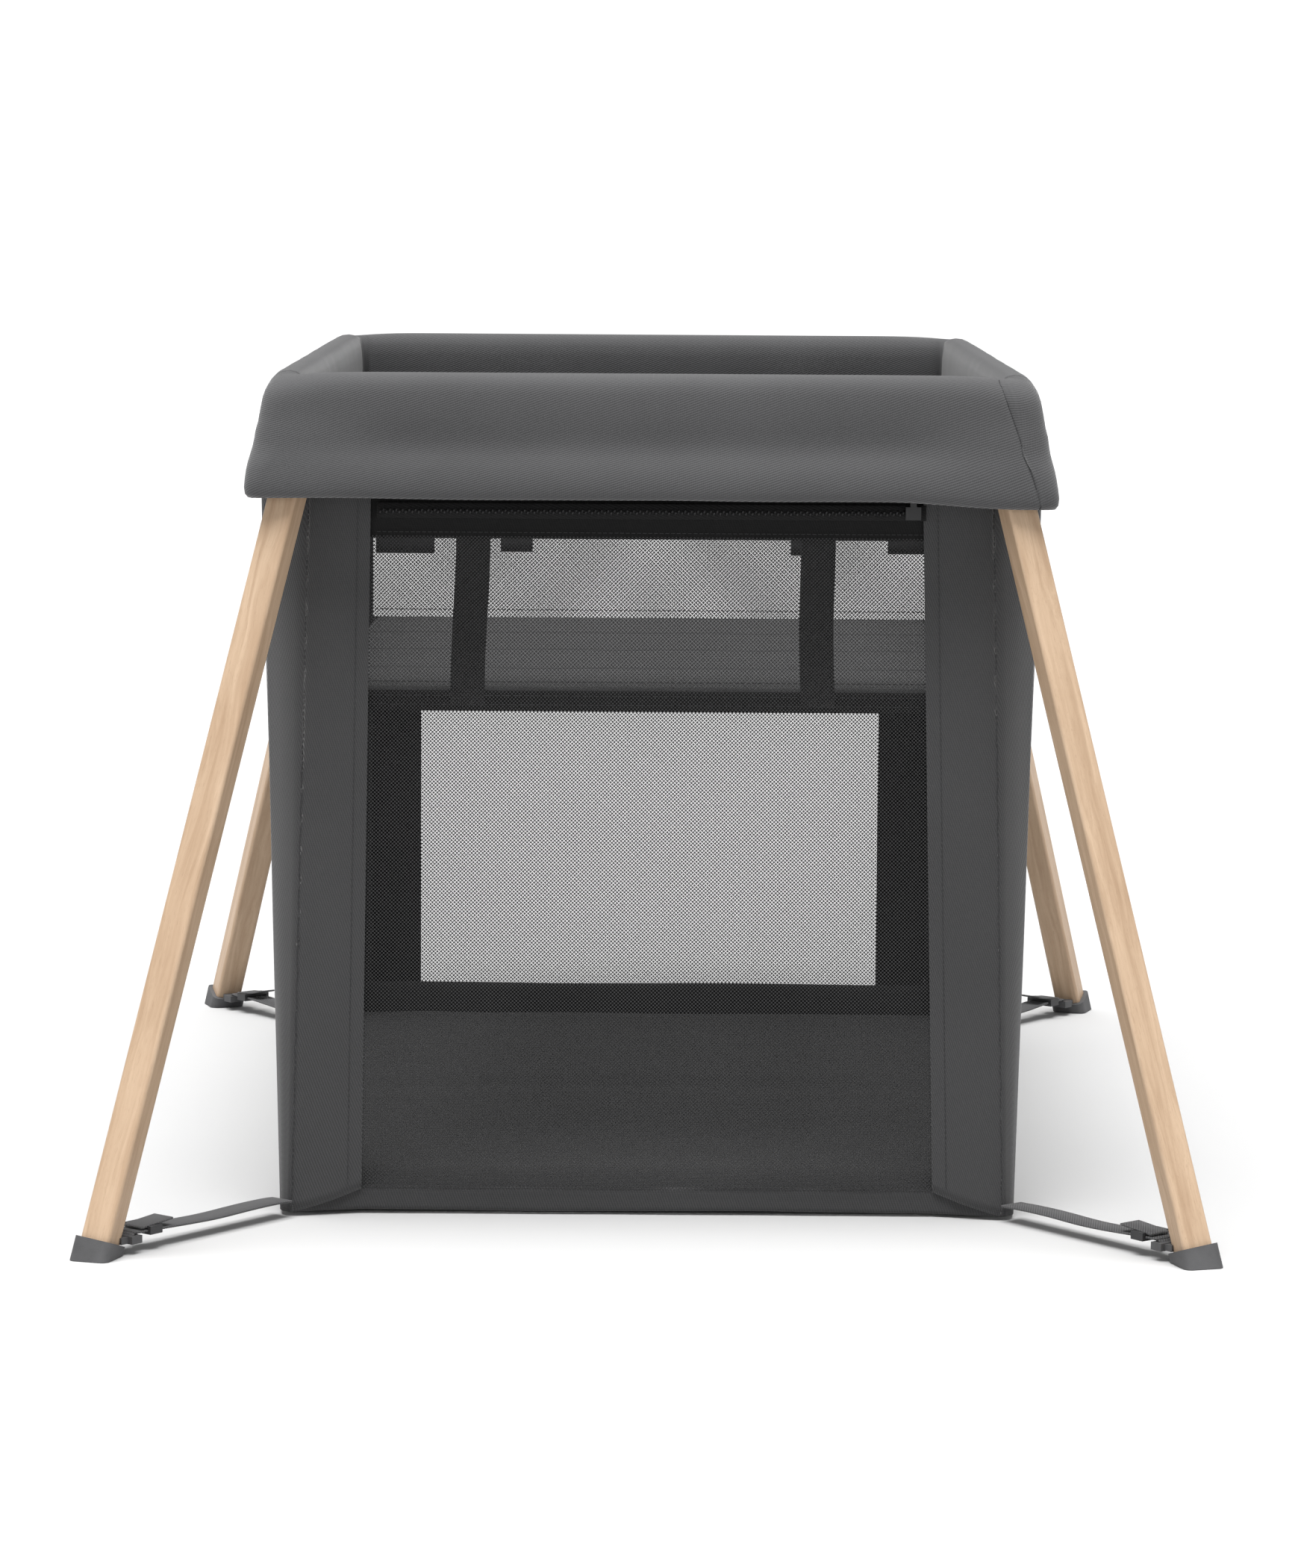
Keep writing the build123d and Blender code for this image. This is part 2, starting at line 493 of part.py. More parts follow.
def make_rear_tabs():
    y0 = BASSINET_Y - BASSINET_CLOTH - 2.6
    return [span(x0, x1, y0, y0 + TAB_T, TAB_LOW, BASSINET_TOP - 4) for x0, x1 in REAR_TABS]


# --- write every sub-part -------------------------------------------------------------------------
cover_ring = make_cover_ring()
for rear in (False, True):
    end = "rear" if rear else "front"
    save(f"{end}_end_rail", to_corner(make_end_rail(), False, rear))
    save(f"{end}_corner_hubs", *(to_corner(make_hub(), left, rear) for left in (True, False)))
    pins = [to_corner(pin, left, rear) for left in (True, False) for pin in make_hub_pins()]
    save(f"{end}_pivot_pins", *pins)
    cut = span(-FAR, FAR, -FAR, -COVER_SPLIT_Y - 0.2, 0, FAR)
    save(f"{end}_rail_cover", cover_ring & to_corner(cut, False, rear))
    band_low = BAND_LOW_REAR if rear else BAND_LOW_FRONT
    window = (REAR_WINDOW_LOW, REAR_WINDOW_HIGH) if rear else (WINDOW_LOW, WINDOW_HIGH)
    wall = make_end_wall(band_low, *window) + (make_window_borders() if rear else make_zipper())
    save(f"{end}_end_wall", *(to_corner(piece, False, rear) for piece in wall))
    panel = make_corner_panel(*window)
    save(f"{end}_corner_panels", *(to_corner(panel, left, rear) for left in (True, False)))
    save(f"{end}_tether_straps", *(to_corner(make_tether(), left, rear) for left in (True, False)))
    wall = to_corner(make_insert_wall(), False, rear)
    save(f"bassinet_{end}_wall", wall, *(make_rear_tabs() if rear else make_insert_straps()))
    for left in (True, False):
        corner = corner_name(left, rear)
        save(f"leg_{corner}", to_corner(make_leg(), left, rear))
        save(f"leg_insert_{corner}", to_corner(make_leg_insert(), left, rear))
        save(f"foot_cap_{corner}", to_corner(make_foot_cap(), left, rear))
        save(f"strap_buckle_{corner}", to_corner(make_buckle(), left, rear))

for left in (True, False):
    side = "left" if left else "right"
    side_cut = span(0, FAR, -COVER_SPLIT_Y + 0.2, COVER_SPLIT_Y - 0.2, 0, FAR)
    save(f"{side}_rail_cover", cover_ring & to_corner(side_cut, left, False))
    save(f"{side}_mesh_wall", to_corner(make_side_wall(), left, False))
    for rear in (False, True):
        end = "rear" if rear else "front"
        save(f"{side}_{end}_rail_tube", to_corner(make_rail_tube(), left, rear))
    save(f"{side}_front_hinge_housing", to_corner(make_front_housing(), left, False))
    save(f"{side}_rear_hinge_housing", to_corner(make_rear_housing(), left, False))
    pin = rod_x(HINGE_PIN_R, SIDE_X - HOUSING_HALF, SIDE_X + HOUSING_HALF, 0, HINGE_Z)
    save(f"{side}_hinge_pin", to_corner(pin, left, False))
    save(f"{side}_release_button", to_corner(make_button(), left, False))
    save(f"{side}_button_spring", to_corner(make_button_spring(), left, False))
    save(f"{side}_latch_bolt", to_corner(make_latch_bolt(), left, False))

save("box_floor", *make_floor())
save("bassinet_sling", make_sling())
save("zipper_slider", make_zipper_slider())
for number in range(PANELS):
    save(f"mattress_panel_{number + 1}", *make_mattress_panel(number))
print("leg splay", round(LEG_SPLAY, 2), "leg axis", LEG_AXIS, "tether", round(TETHER_SPAN, 1))
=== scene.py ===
"""Looks of the travel play yard: cloth, net, wood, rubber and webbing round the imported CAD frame.

Lengths are in millimetres and become metres where a mesh is made. The axes are the frame's: +Z up,
X across the short ends, Y along the long sides, and the end towards the camera is the front, at -Y.
"""

from math import cos, exp, hypot, pi, radians, sin

import bpy
from mathutils import Matrix, Vector, noise


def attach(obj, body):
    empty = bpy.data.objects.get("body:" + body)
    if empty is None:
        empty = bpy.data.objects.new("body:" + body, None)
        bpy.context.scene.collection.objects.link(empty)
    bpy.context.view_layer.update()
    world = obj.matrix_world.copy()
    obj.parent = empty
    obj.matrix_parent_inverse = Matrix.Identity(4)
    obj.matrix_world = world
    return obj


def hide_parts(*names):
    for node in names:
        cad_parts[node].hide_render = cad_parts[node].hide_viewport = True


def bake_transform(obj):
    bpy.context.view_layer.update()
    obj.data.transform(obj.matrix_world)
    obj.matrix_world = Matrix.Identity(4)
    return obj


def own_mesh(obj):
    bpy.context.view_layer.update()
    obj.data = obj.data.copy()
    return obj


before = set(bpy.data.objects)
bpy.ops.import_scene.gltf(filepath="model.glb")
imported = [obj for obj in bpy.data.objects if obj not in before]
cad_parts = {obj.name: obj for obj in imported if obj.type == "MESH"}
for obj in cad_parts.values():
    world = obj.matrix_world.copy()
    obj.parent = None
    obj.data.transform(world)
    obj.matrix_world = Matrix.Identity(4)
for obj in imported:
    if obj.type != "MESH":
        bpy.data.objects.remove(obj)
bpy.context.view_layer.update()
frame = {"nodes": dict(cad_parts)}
MM = 0.001

# --- sizes, as in the frame ---------------------------------------------------------------------
RAIL_TOP = 665.0
COVER_X, COVER_Y = 299.0, 449.0  # the cover's outer face near its top
COVER_SPLIT_Y = 400.0
END_DEPTH, SIDE_DEPTH = 46.0, 29.0  # how far the cover reaches inwards from there
SPLIT_GAP = 0.2  # from the split line to each cover's end
SEW_TOP, SEW_FOOT = 268.0, 300.0  # the sewn corner line, at the ridge and at the hem
LAST_SHARE = 0.88  # the last plain station before that line, as a share of the half width
SKIRT_H = 92.0  # the sewn line's drop from the ridge to the hem
OUTER_FROM = 440.0  # half lengths beyond this are on the cover's outer face
SEWN_POINTS = (8, 23)  # the profile points between which that line is stitched
WALL_Y, WALL_TOP = 410.0, 622.0
WALL_BOTTOM, WALL_MEETS_RAIL = 2.0, 578.0
CLOTH_TOP = WALL_MEETS_RAIL + 14  # the panels go on a little way behind the cover
CLOTH_T = 1.2
PANEL_ROWS = 72
HEM_POINT, CORNER_POINT = 3, 9  # a panel row's points on the hem and on the corner seam
HEM_RISE = {"front": 17, "rear": 46}  # how far a panel's foot rises towards its hem
PANEL_LAP = 7.0  # the front right panel's top laps over the window
WINDOW = {"front": (225.5, 217.5), "rear": (262.0, 260.0)}  # half width at floor and rail
BORDER_IN, BORDER_OUT, BORDER_HIGH = 216.0, 262.5, 390.0  # the strips beside the rear window
SEAM_LOW, SEAM_HIGH = 282.0, 268.0
SIDE_LOW, SIDE_HIGH = 290.0, 306.0
CHAMFER_LOW, CHAMFER_HIGH = 410.0, 362.0
TIP_Y = 422.0  # the lower corners are drawn out by the tethers
PANEL_END = 345.0  # where the corner panels meet the side walls
SIDE_REACH = PANEL_END - 0.4  # half length of a side wall
BAND_LOW = {"front": 22.0, "rear": 52.0}
BAND_HIGH = 536.0
BAND_HALF = 262.0  # half width of the upper end bands
LINE_HALF = 214.0  # half length of the stitches along them
FLOOR_TOP = 30.0
INSERT_Y, INSERT_X, INSERT_TOP = 399.0, 265.0, 560.0
INSERT_HALF = 263.0  # half width of the insert's end walls
INSERT_REACH = 396.5  # half length of its sides and floor
MATTRESS_TOP, MATTRESS_T = 410.0, 14.0
INSERT_LOW = MATTRESS_TOP - MATTRESS_T - 2
PANEL_L, PANEL_HALF_W, PANELS = 194.0, 260.0, 4
STRAP_X, STRAP_W = 137.0, 27.0
ZIP_Z, ZIP_HALF, TAPE_W, TOOTH_PITCH = 558.0, 214.0, 12.0, 2.5
REAR_TABS = ((-258.0, -203.0), (-141.0, -111.0), (131.0, 152.0), (222.0, 257.0))
TAB_LOW = 461.0
FOOT = Vector((418.0, -580.0, 11.0))
BOX_CORNER = Vector((290.0, -422.0, 11.0))
LEG_TOP, LEG_FOOT = Vector((275, -430, 598)), Vector((418, -580, 0))
WEB_W, WEB_T, WEB_RISE, LUG_REACH = 22.0, 1.6, 4.4, 29.0
TURN_R, TURN_L, TAIL_L = 3.1, 13.0, 34.0  # the webbing's turn through the loop, and its loose tail
MATTRESS_NEAR_RISE, MATTRESS_FAR_DROP = 7.0, 8.0  # the insert's floor is higher at the front
STITCH = (3.0, 1.4)  # a stitch on the box and the gap after it
FINE_THREAD = 0.26
FLOOR_Z = -0.4  # the studio floor is just under the feet
STAGE_R, BACKDROP_H = 14000.0, 4500.0
ENDS = (("front", -1), ("rear", 1))
SIDES = (("left", -1), ("right", 1))


# --- mesh helpers -------------------------------------------------------------------------------
def mesh_object(name, points, faces, uvs, smooth=True):
    """An object from points in millimetres, with a texture coordinate in metres for each point."""
    mesh = bpy.data.meshes.new(name)
    mesh.from_pydata([Vector(p) * MM for p in points], [], faces)
    layer = mesh.uv_layers.new(name="UVMap")
    for loop in mesh.loops:
        layer.data[loop.index].uv = uvs[loop.vertex_index]
    for polygon in mesh.polygons:
        polygon.use_smooth = smooth
    mesh.update()
    obj = bpy.data.objects.new(name, mesh)
    bpy.context.scene.collection.objects.link(obj)
    return obj


def running(points):
    """Distance along a row of points, in metres."""
    total, steps = 0.0, [0.0]
    for before, here in zip(points, points[1:]):
        total += (Vector(here) - Vector(before)).length * MM
        steps.append(total)
    return steps


def grid(name, rows, around=False, capped=False):
    """A surface through rows of equally many points. around joins each row's ends; capped fills the ends."""
    count = len(rows[0])
    across = running(rows[len(rows) // 2] + ([rows[len(rows) // 2][0]] if around else []))
    along = running([row[count // 2] for row in rows])
    points = [p for row in rows for p in row]
    uvs = [(along[j], across[i]) for j in range(len(rows)) for i in range(count)]
    faces = []
    for j in range(len(rows) - 1):
        for i in range(count if around else count - 1):
            k = (i + 1) % count
            faces.append((j * count + i, j * count + k, (j + 1) * count + k, (j + 1) * count + i))
    if capped:
        faces.append(tuple(reversed(range(count))))
        faces.append(tuple(range((len(rows) - 1) * count, len(rows) * count)))
    return mesh_object(name, points, faces, uvs)


def join(name, objects):
    """One object from several, keeping their coordinates."""
    points, faces, uvs = [], [], []
    for obj in objects:
        start = len(points)
        mesh = obj.data
        layer = mesh.uv_layers[0].data
        spots = [(0.0, 0.0)] * len(mesh.vertices)
        for loop in mesh.loops:
            spots[loop.vertex_index] = tuple(layer[loop.index].uv)
        points += [v.co / MM for v in mesh.vertices]
        uvs += spots
        faces += [tuple(start + i for i in polygon.vertices) for polygon in mesh.polygons]
        bpy.data.objects.remove(obj)
    return mesh_object(name, points, faces, uvs)


def strip(name, path, width_line, thickness, lift=0.0):
    """Flat webbing along path. width_line is the direction of its width; it is rounded at its edges."""
    half = width_line / 2
    side = half.normalized()
    rows = []
    for i, here in enumerate(path):
        before, after = path[max(i - 1, 0)], path[min(i + 1, len(path) - 1)]
        up = side.cross(after - before).normalized()
        t = thickness / 2
        ring = [(-1, -0.3), (-0.97, -1), (0.97, -1), (1, -0.3), (1, 0.3), (0.97, 1), (-0.97, 1), (-1, 0.3)]
        rows.append([here + up * (lift + b * t) + half * a for a, b in ring])
    return grid(name, rows, around=True, capped=True)


def tube(name, path, radius, sides=8):
    """Round piping along path."""
    rows = []
    for i, here in enumerate(path):
        before, after = path[max(i - 1, 0)], path[min(i + 1, len(path) - 1)]
        ahead = (after - before).normalized()
        side = ahead.cross(Vector((0.31, 0.17, 0.93))).normalized()
        up = side.cross(ahead)
        angles = [2 * pi * k / sides for k in range(sides)]
        rows.append([here + (side * cos(a) + up * sin(a)) * radius for a in angles])
    return grid(name, rows, around=True, capped=True)


def resample(path, step):
    """Points at even steps along a polyline."""
    total = sum((b - a).length for a, b in zip(path, path[1:]))
    count = max(2, round(total / step))
    out, travelled, target = [path[0]], 0.0, 1
    for a, b in zip(path, path[1:]):
        length = (b - a).length
        while target < count and travelled + length >= target * total / count:
            out.append(a.lerp(b, (target * total / count - travelled) / length))
            target += 1
        travelled += length
    out.append(path[-1])
    return out


def stitches(name, path, stitch=2.6, gap=1.2, radius=0.32):
    """Thread that shows as a row of short rounded dashes along path."""
    spots = resample(path, stitch + gap)
    dashes = []
    for a, b in zip(spots, spots[1:]):
        share = stitch / (stitch + gap)
        end = a.lerp(b, share)
        dashes.append(tube(f"{name}_dash", [a, a.lerp(end, 0.15), a.lerp(end, 0.85), end], radius, 5))
    return join(name, dashes)


def finish_piece(obj, material, body, nodes=()):
    """Give a piece its material and body, and hide the nodes that it stands for."""
    obj.data.materials.append(material)
    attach(obj, body)
    if nodes:
        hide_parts(*nodes)
    return obj


def crumple(obj):
    """Give a side piece its own copy of its mesh."""
    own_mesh(obj)


def wave(x, y, z, size):
    """Smooth unevenness between -1 and 1, with features about size millimetres across."""
    return noise.noise(Vector((x, y, z)) / size)


def between(low, high, z0, z1, z):
    return low + (high - low) * (z - z0) / (z1 - z0)


def steps(start, end, count):
    return [start + (end - start) * i / count for i in range(count + 1)]


# --- materials ----------------------------------------------------------------------------------
class Recipe:
    """A material's node tree, with short ways to add and join nodes."""

    def __init__(self, name, roughness, **settings):
        self.material = bpy.data.materials.new(name)
        self.material.use_nodes = True
        self.nodes = self.material.node_tree.nodes
        self.links = self.material.node_tree.links
        self.shader = self.nodes["Principled BSDF"]
        self.shader.inputs["Roughness"].default_value = roughness
        for socket, value in settings.items():
            self.shader.inputs[socket.replace("_", " ")].default_value = value

    def plug(self, value, socket):
        if isinstance(value, bpy.types.NodeSocket):
            self.links.new(value, socket)
        else:
            socket.default_value = value

    def place(self, kind="Object", stretch=(1, 1, 1), turn=(0, 0, 0)):
        """Object or UV coordinates, scaled and turned."""
        source = self.nodes.new("ShaderNodeTexCoord")
        mapping = self.nodes.new("ShaderNodeMapping")
        self.links.new(source.outputs[kind], mapping.inputs["Vector"])
        mapping.inputs["Scale"].default_value = stretch
        mapping.inputs["Rotation"].default_value = turn
        return mapping.outputs["Vector"]

    def math(self, operation, a, b=0.0, c=0.0):
        node = self.nodes.new("ShaderNodeMath")
        node.operation = operation
        for value, socket in zip((a, b, c), node.inputs):
            self.plug(value, socket)
        return node.outputs["Value"]

    def noise(self, vector, scale, detail=3.0, roughness=0.55, distortion=0.0):
        node = self.nodes.new("ShaderNodeTexNoise")
        self.links.new(vector, node.inputs["Vector"])
        node.inputs["Scale"].default_value = scale
        node.inputs["Detail"].default_value = detail
        node.inputs["Roughness"].default_value = roughness
        node.inputs["Distortion"].default_value = distortion
        return node.outputs["Fac"]

    def split(self, vector):
        node = self.nodes.new("ShaderNodeSeparateXYZ")
        self.links.new(vector, node.inputs["Vector"])
        return node.outputs["X"], node.outputs["Y"], node.outputs["Z"]

    def remap(self, value, low, high, to_low=0.0, to_high=1.0):
        node = self.nodes.new("ShaderNodeMapRange")
        self.links.new(value, node.inputs["Value"])
        node.inputs["From Min"].default_value = low
        node.inputs["From Max"].default_value = high
        node.inputs["To Min"].default_value = to_low
        node.inputs["To Max"].default_value = to_high
        return node.outputs["Result"]

    def blend(self, factor, low, high):
        node = self.nodes.new("ShaderNodeMix")
        node.data_type = "RGBA"
        self.plug(factor, node.inputs["Factor"])
        colours = [socket for socket in node.inputs if socket.type == "RGBA"]
        self.plug(low if not isinstance(low, tuple) else (*low, 1), colours[0])
        self.plug(high if not isinstance(high, tuple) else (*high, 1), colours[1])
        return [socket for socket in node.outputs if socket.type == "RGBA"][0]

    def colour(self, value):
        self.plug(value, self.shader.inputs["Base Color"])

    def rough(self, value, low, high):
        self.links.new(self.remap(value, 0, 1, low, high), self.shader.inputs["Roughness"])

    def bump(self, height, distance, strength=1.0):
        node = self.nodes.new("ShaderNodeBump")
        node.inputs["Distance"].default_value = distance
        node.inputs["Strength"].default_value = strength
        self.links.new(height, node.inputs["Height"])
        if self.shader.inputs["Normal"].is_linked:
            earlier = self.shader.inputs["Normal"].links[0].from_socket
            self.links.new(earlier, node.inputs["Normal"])
        self.links.new(node.outputs["Normal"], self.shader.inputs["Normal"])


def shade(tone, share, warm=0.0):
    """A near-neutral grey, share of tone."""
    value = tone * share
    return (value * (1 + warm), value, value * (1 - warm + 0.03))


def cloth_material(name, tone, pitch, across=0.35, roughness=0.9, sheen=0.25, streak=0.1, bump=0.00025):
    """Woven cloth with fine diagonal ribs, slubs along the yarn and broad uneven dye."""
    made = Recipe(name, roughness, Sheen_Weight=sheen, Sheen_Roughness=0.45, Specular_IOR_Level=0.3)
    u, v, _ = made.split(made.place("UV"))
    slant = made.math("MULTIPLY_ADD", u, across, v)
    rib = made.math("SINE", made.math("MULTIPLY", slant, 2 * pi / pitch))
    rib = made.remap(rib, -1, 1)
    weft = made.math("SINE", made.math("MULTIPLY", u, 2 * pi / (pitch * 0.8)))
    weave = made.math("MULTIPLY_ADD", weft, 0.12, rib)
    slubs = made.noise(made.place("UV", (900, 90, 1)), 1.0, 2.0)
    dye = made.noise(made.place(), 5.0, 4.0)
    fleck = made.noise(made.place(), 900.0, 1.0)
    level = made.math("MULTIPLY_ADD", slubs, streak * 2, made.math("MULTIPLY", weave, 0.5))
    level = made.math("MULTIPLY_ADD", dye, 0.5, level)
    level = made.math("MULTIPLY_ADD", fleck, 0.35, level)
    fade = made.remap(level, 0.3, 1.3)
    made.colour(made.blend(fade, shade(tone, 0.62), shade(tone, 1.38)))
    made.rough(slubs, roughness - 0.1, min(roughness + 0.06, 1))
    made.bump(weave, bump, 0.7)
    made.bump(made.noise(made.place(), 55.0, 3.0), 0.0008, 0.25)
    return made.material


def net_material(name, tone, pitch, hole):
    """Knitted net: round-cornered holes in a diamond grid. A higher hole leaves less open."""
    made = Recipe(name, 0.8, Sheen_Weight=0.1, Specular_IOR_Level=0.35)
    u, v, _ = made.split(made.place("UV"))
    rise = made.math("COSINE", made.math("MULTIPLY", made.math("ADD", u, v), 2 * pi / pitch))
    fall = made.math("COSINE", made.math("MULTIPLY", made.math("SUBTRACT", u, v), 2 * pi / pitch))
    height = made.math("ADD", rise, fall)
    made.plug(made.math("LESS_THAN", height, hole), made.shader.inputs["Alpha"])
    dye = made.noise(made.place(), 9.0, 3.0)
    knot = made.remap(height, -2, hole)
    level = made.math("MULTIPLY_ADD", knot, -0.5, made.math("ADD", dye, 0.25))
    made.colour(made.blend(made.remap(level, 0, 1), shade(tone, 0.6), shade(tone, 1.5)))
    made.rough(dye, 0.7, 0.9)
    made.bump(knot, 0.0003, 0.6)
    return made.material


def webbing_material(name, tone, pitch=0.0026, roughness=0.72):
    """Strap with diagonal ribs."""
    made = Recipe(name, roughness, Sheen_Weight=0.15, Sheen_Roughness=0.4)
    u, v, _ = made.split(made.place("UV"))
    rib = made.math("SINE", made.math("MULTIPLY", made.math("ADD", u, v), 2 * pi / pitch))
    rib = made.remap(rib, -1, 1)
    grit = made.noise(made.place("UV", (1, 1, 1)), 1400.0, 2.0)
    dye = made.noise(made.place(), 12.0, 2.0)
    level = made.math("MULTIPLY_ADD", grit, 0.4, made.math("MULTIPLY", rib, 0.6))
    level = made.math("MULTIPLY_ADD", dye, 0.3, level)
    made.colour(made.blend(made.remap(level, 0.2, 1.2), shade(tone, 0.5), shade(tone, 1.6)))
    made.rough(grit, roughness - 0.1, roughness + 0.12)
    made.bump(rib, 0.0005, 0.8)
    return made.material


def wood_material(name, along, tint=0.0):
    """Pale close-grained hardwood with its grain along one leg."""
    made = Recipe(name, 0.48, Specular_IOR_Level=0.45, Coat_Weight=0.12, Coat_Roughness=0.35)
    turn = along.to_track_quat("Z", "Y").to_matrix().transposed().to_euler()
    grain_space = made.place("Object", (1, 1, 1), turn)
    x, y, z = made.split(grain_space)
    bend = made.noise(made.place("Object", (1, 1, 1), turn), 6.0, 2.0)
    squeeze = made.nodes.new("ShaderNodeCombineXYZ")
    made.plug(made.math("MULTIPLY_ADD", bend, 0.02, x), squeeze.inputs["X"])
    made.plug(made.math("MULTIPLY_ADD", bend, 0.02, y), squeeze.inputs["Y"])
    made.plug(made.math("MULTIPLY", z, 0.05), squeeze.inputs["Z"])
    lines = squeeze.outputs["Vector"]
    rings = made.noise(lines, 130.0, 4.0, 0.6, 0.8)
    fibre = made.noise(lines, 900.0, 3.0, 0.7)
    pores = made.noise(lines, 2600.0, 1.0)
    cloud = made.noise(grain_space, 9.0, 3.0)
    light, dark = (0.56, 0.405, 0.275), (0.40, 0.268, 0.168)
    light = tuple(c * (1 - tint) for c in light)
    base = made.blend(made.remap(rings, 0.35, 0.68), light, dark)
    base = made.blend(made.remap(fibre, 0.45, 0.75, 0.0, 0.35), base, (0.4, 0.26, 0.16))
    base = made.blend(made.remap(cloud, 0.4, 0.8, 0.0, 0.35), base, (0.62, 0.46, 0.32))
    base = made.blend(made.remap(pores, 0.64, 0.72, 0.0, 0.35), base, (0.26, 0.16, 0.095))
    made.colour(base)
    made.rough(fibre, 0.4, 0.58)
    made.bump(fibre, 0.00012, 0.5)
    made.bump(pores, 0.0001, 0.3)
    return made.material


def moulded_material(name, low, high, roughness, grain=1600.0, depth=0.00008, metallic=0.0):
    """Plastic, rubber or metal: two close tones, a fine surface grain and scuffed patches."""
    made = Recipe(name, roughness, Metallic=metallic)
    cloud = made.noise(made.place(), 35.0, 4.0)
    texture = made.noise(made.place(), grain, 2.0)
    made.colour(made.blend(made.remap(cloud, 0.3, 0.7), low, high))
    made.rough(cloud, roughness - 0.08, roughness + 0.1)
    made.bump(texture, depth, 0.5)
    return made.material


COVER = cloth_material("cover_twill", 0.07, 0.0019)
PANEL = cloth_material("panel_twill", 0.052, 0.0019)
SHADE_CLOTH = cloth_material("band_cloth", 0.045, 0.0021)
# near-black cloth for the upper bands, zipper tape, rear borders and insert base; on the front insert binding
# it is painted shade
DARK_CLOTH = cloth_material("dark_band_cloth", 0.007, 0.002, sheen=0.03)
TAB_CLOTH = cloth_material("tab_cloth", 0.03, 0.002, sheen=0.1)
FLOOR_CLOTH = cloth_material("floor_cloth", 0.055, 0.0028, across=1.0, streak=0.2)
MATTRESS_CLOTH = cloth_material("mattress_cloth", 0.042, 0.003, across=1.0, streak=0.25)
WALL_NET = {
    "front": net_material("front_wall_net", 0.03, 0.0029, -0.1),
    "rear": net_material("rear_wall_net", 0.03, 0.0013, -0.2),
}
INSERT_NET = {
    "front": net_material("front_insert_net", 0.03, 0.0017, -1.1),
    "rear": net_material("rear_insert_net", 0.03, 0.0013, -1.1),
}
WEBBING = webbing_material("tether_webbing", 0.075)
STRAP = webbing_material("insert_strap", 0.008, 0.0024, 0.8)
THREAD = moulded_material("thread", (0.02, 0.02, 0.021), (0.035, 0.035, 0.037), 0.75)
NYLON = moulded_material("moulded_nylon", (0.018, 0.018, 0.019), (0.03, 0.03, 0.032), 0.45)
RUBBER = moulded_material("foot_rubber", (0.058, 0.058, 0.06), (0.095, 0.095, 0.098), 0.68, 900.0, 0.0002)
ALUMINIUM = moulded_material("rail_aluminium", (0.6, 0.61, 0.63), (0.72, 0.73, 0.75), 0.34, metallic=1.0)
STEEL = moulded_material("bright_steel", (0.5, 0.5, 0.52), (0.62, 0.62, 0.64), 0.3, metallic=1.0)
BUTTON = moulded_material("button_plastic", (0.12, 0.12, 0.125), (0.17, 0.17, 0.175), 0.4)
ZIP_METAL = moulded_material("zip_teeth", (0.008, 0.008, 0.009), (0.02, 0.02, 0.021), 0.5)


# --- padded rail covers -------------------------------------------------------------------------
# outward offset from the outer face, height, and corner radius in plan, from the inner hem over the
# top to the rolled lower edge, then back inside the channel
COVER_PROFILE = (
    (-46.0, 612.0, 3), (-46.6, 622.0, 3), (-46.9, 634.0, 3), (-46.4, 646.0, 3), (-44.6, 655.0, 4),
    (-40.5, 661.2, 6), (-34.0, 664.8, 8), (-26.0, 665.8, 10), (-17.0, 665.2, 13), (-9.5, 663.2, 15),
    (-4.6, 660.2, 17), (-1.4, 656.4, 17), (0.4, 651.0, 17), (1.5, 645.0, 17), (2.4, 638.0, 17),
    (2.8, 630.0, 17), (2.6, 622.0, 17), (2.4, 615.0, 17), (3.6, 608.5, 17), (6.8, 602.5, 17),
    (10.2, 597.0, 16), (12.9, 591.0, 15), (14.6, 584.5, 15), (15.4, 578.0, 14), (14.8, 573.0, 14),
    (12.6, 570.2, 13), (9.6, 570.6, 12), (8.2, 573.6, 12), (8.6, 580.0, 12), (6.4, 590.0, 13),
    (2.6, 600.0, 14), (-0.4, 611.0, 14), (-1.2, 624.0, 14), (-1.8, 640.0, 14), (-3.4, 650.0, 14),
    (-9.0, 653.4, 12), (-26.0, 654.0, 8), (-40.0, 653.0, 5), (-43.4, 648.0, 3), (-43.9, 630.0, 3),
    (-43.6, 613.4, 3), (-44.8, 611.4, 3),
)


def smooth(value, low, high):
    """An eased step: 0 below low and 1 above high."""
    share = max(0.0, min(1.0, (value - low) / (high - low)))
    return share * share * (3 - 2 * share)


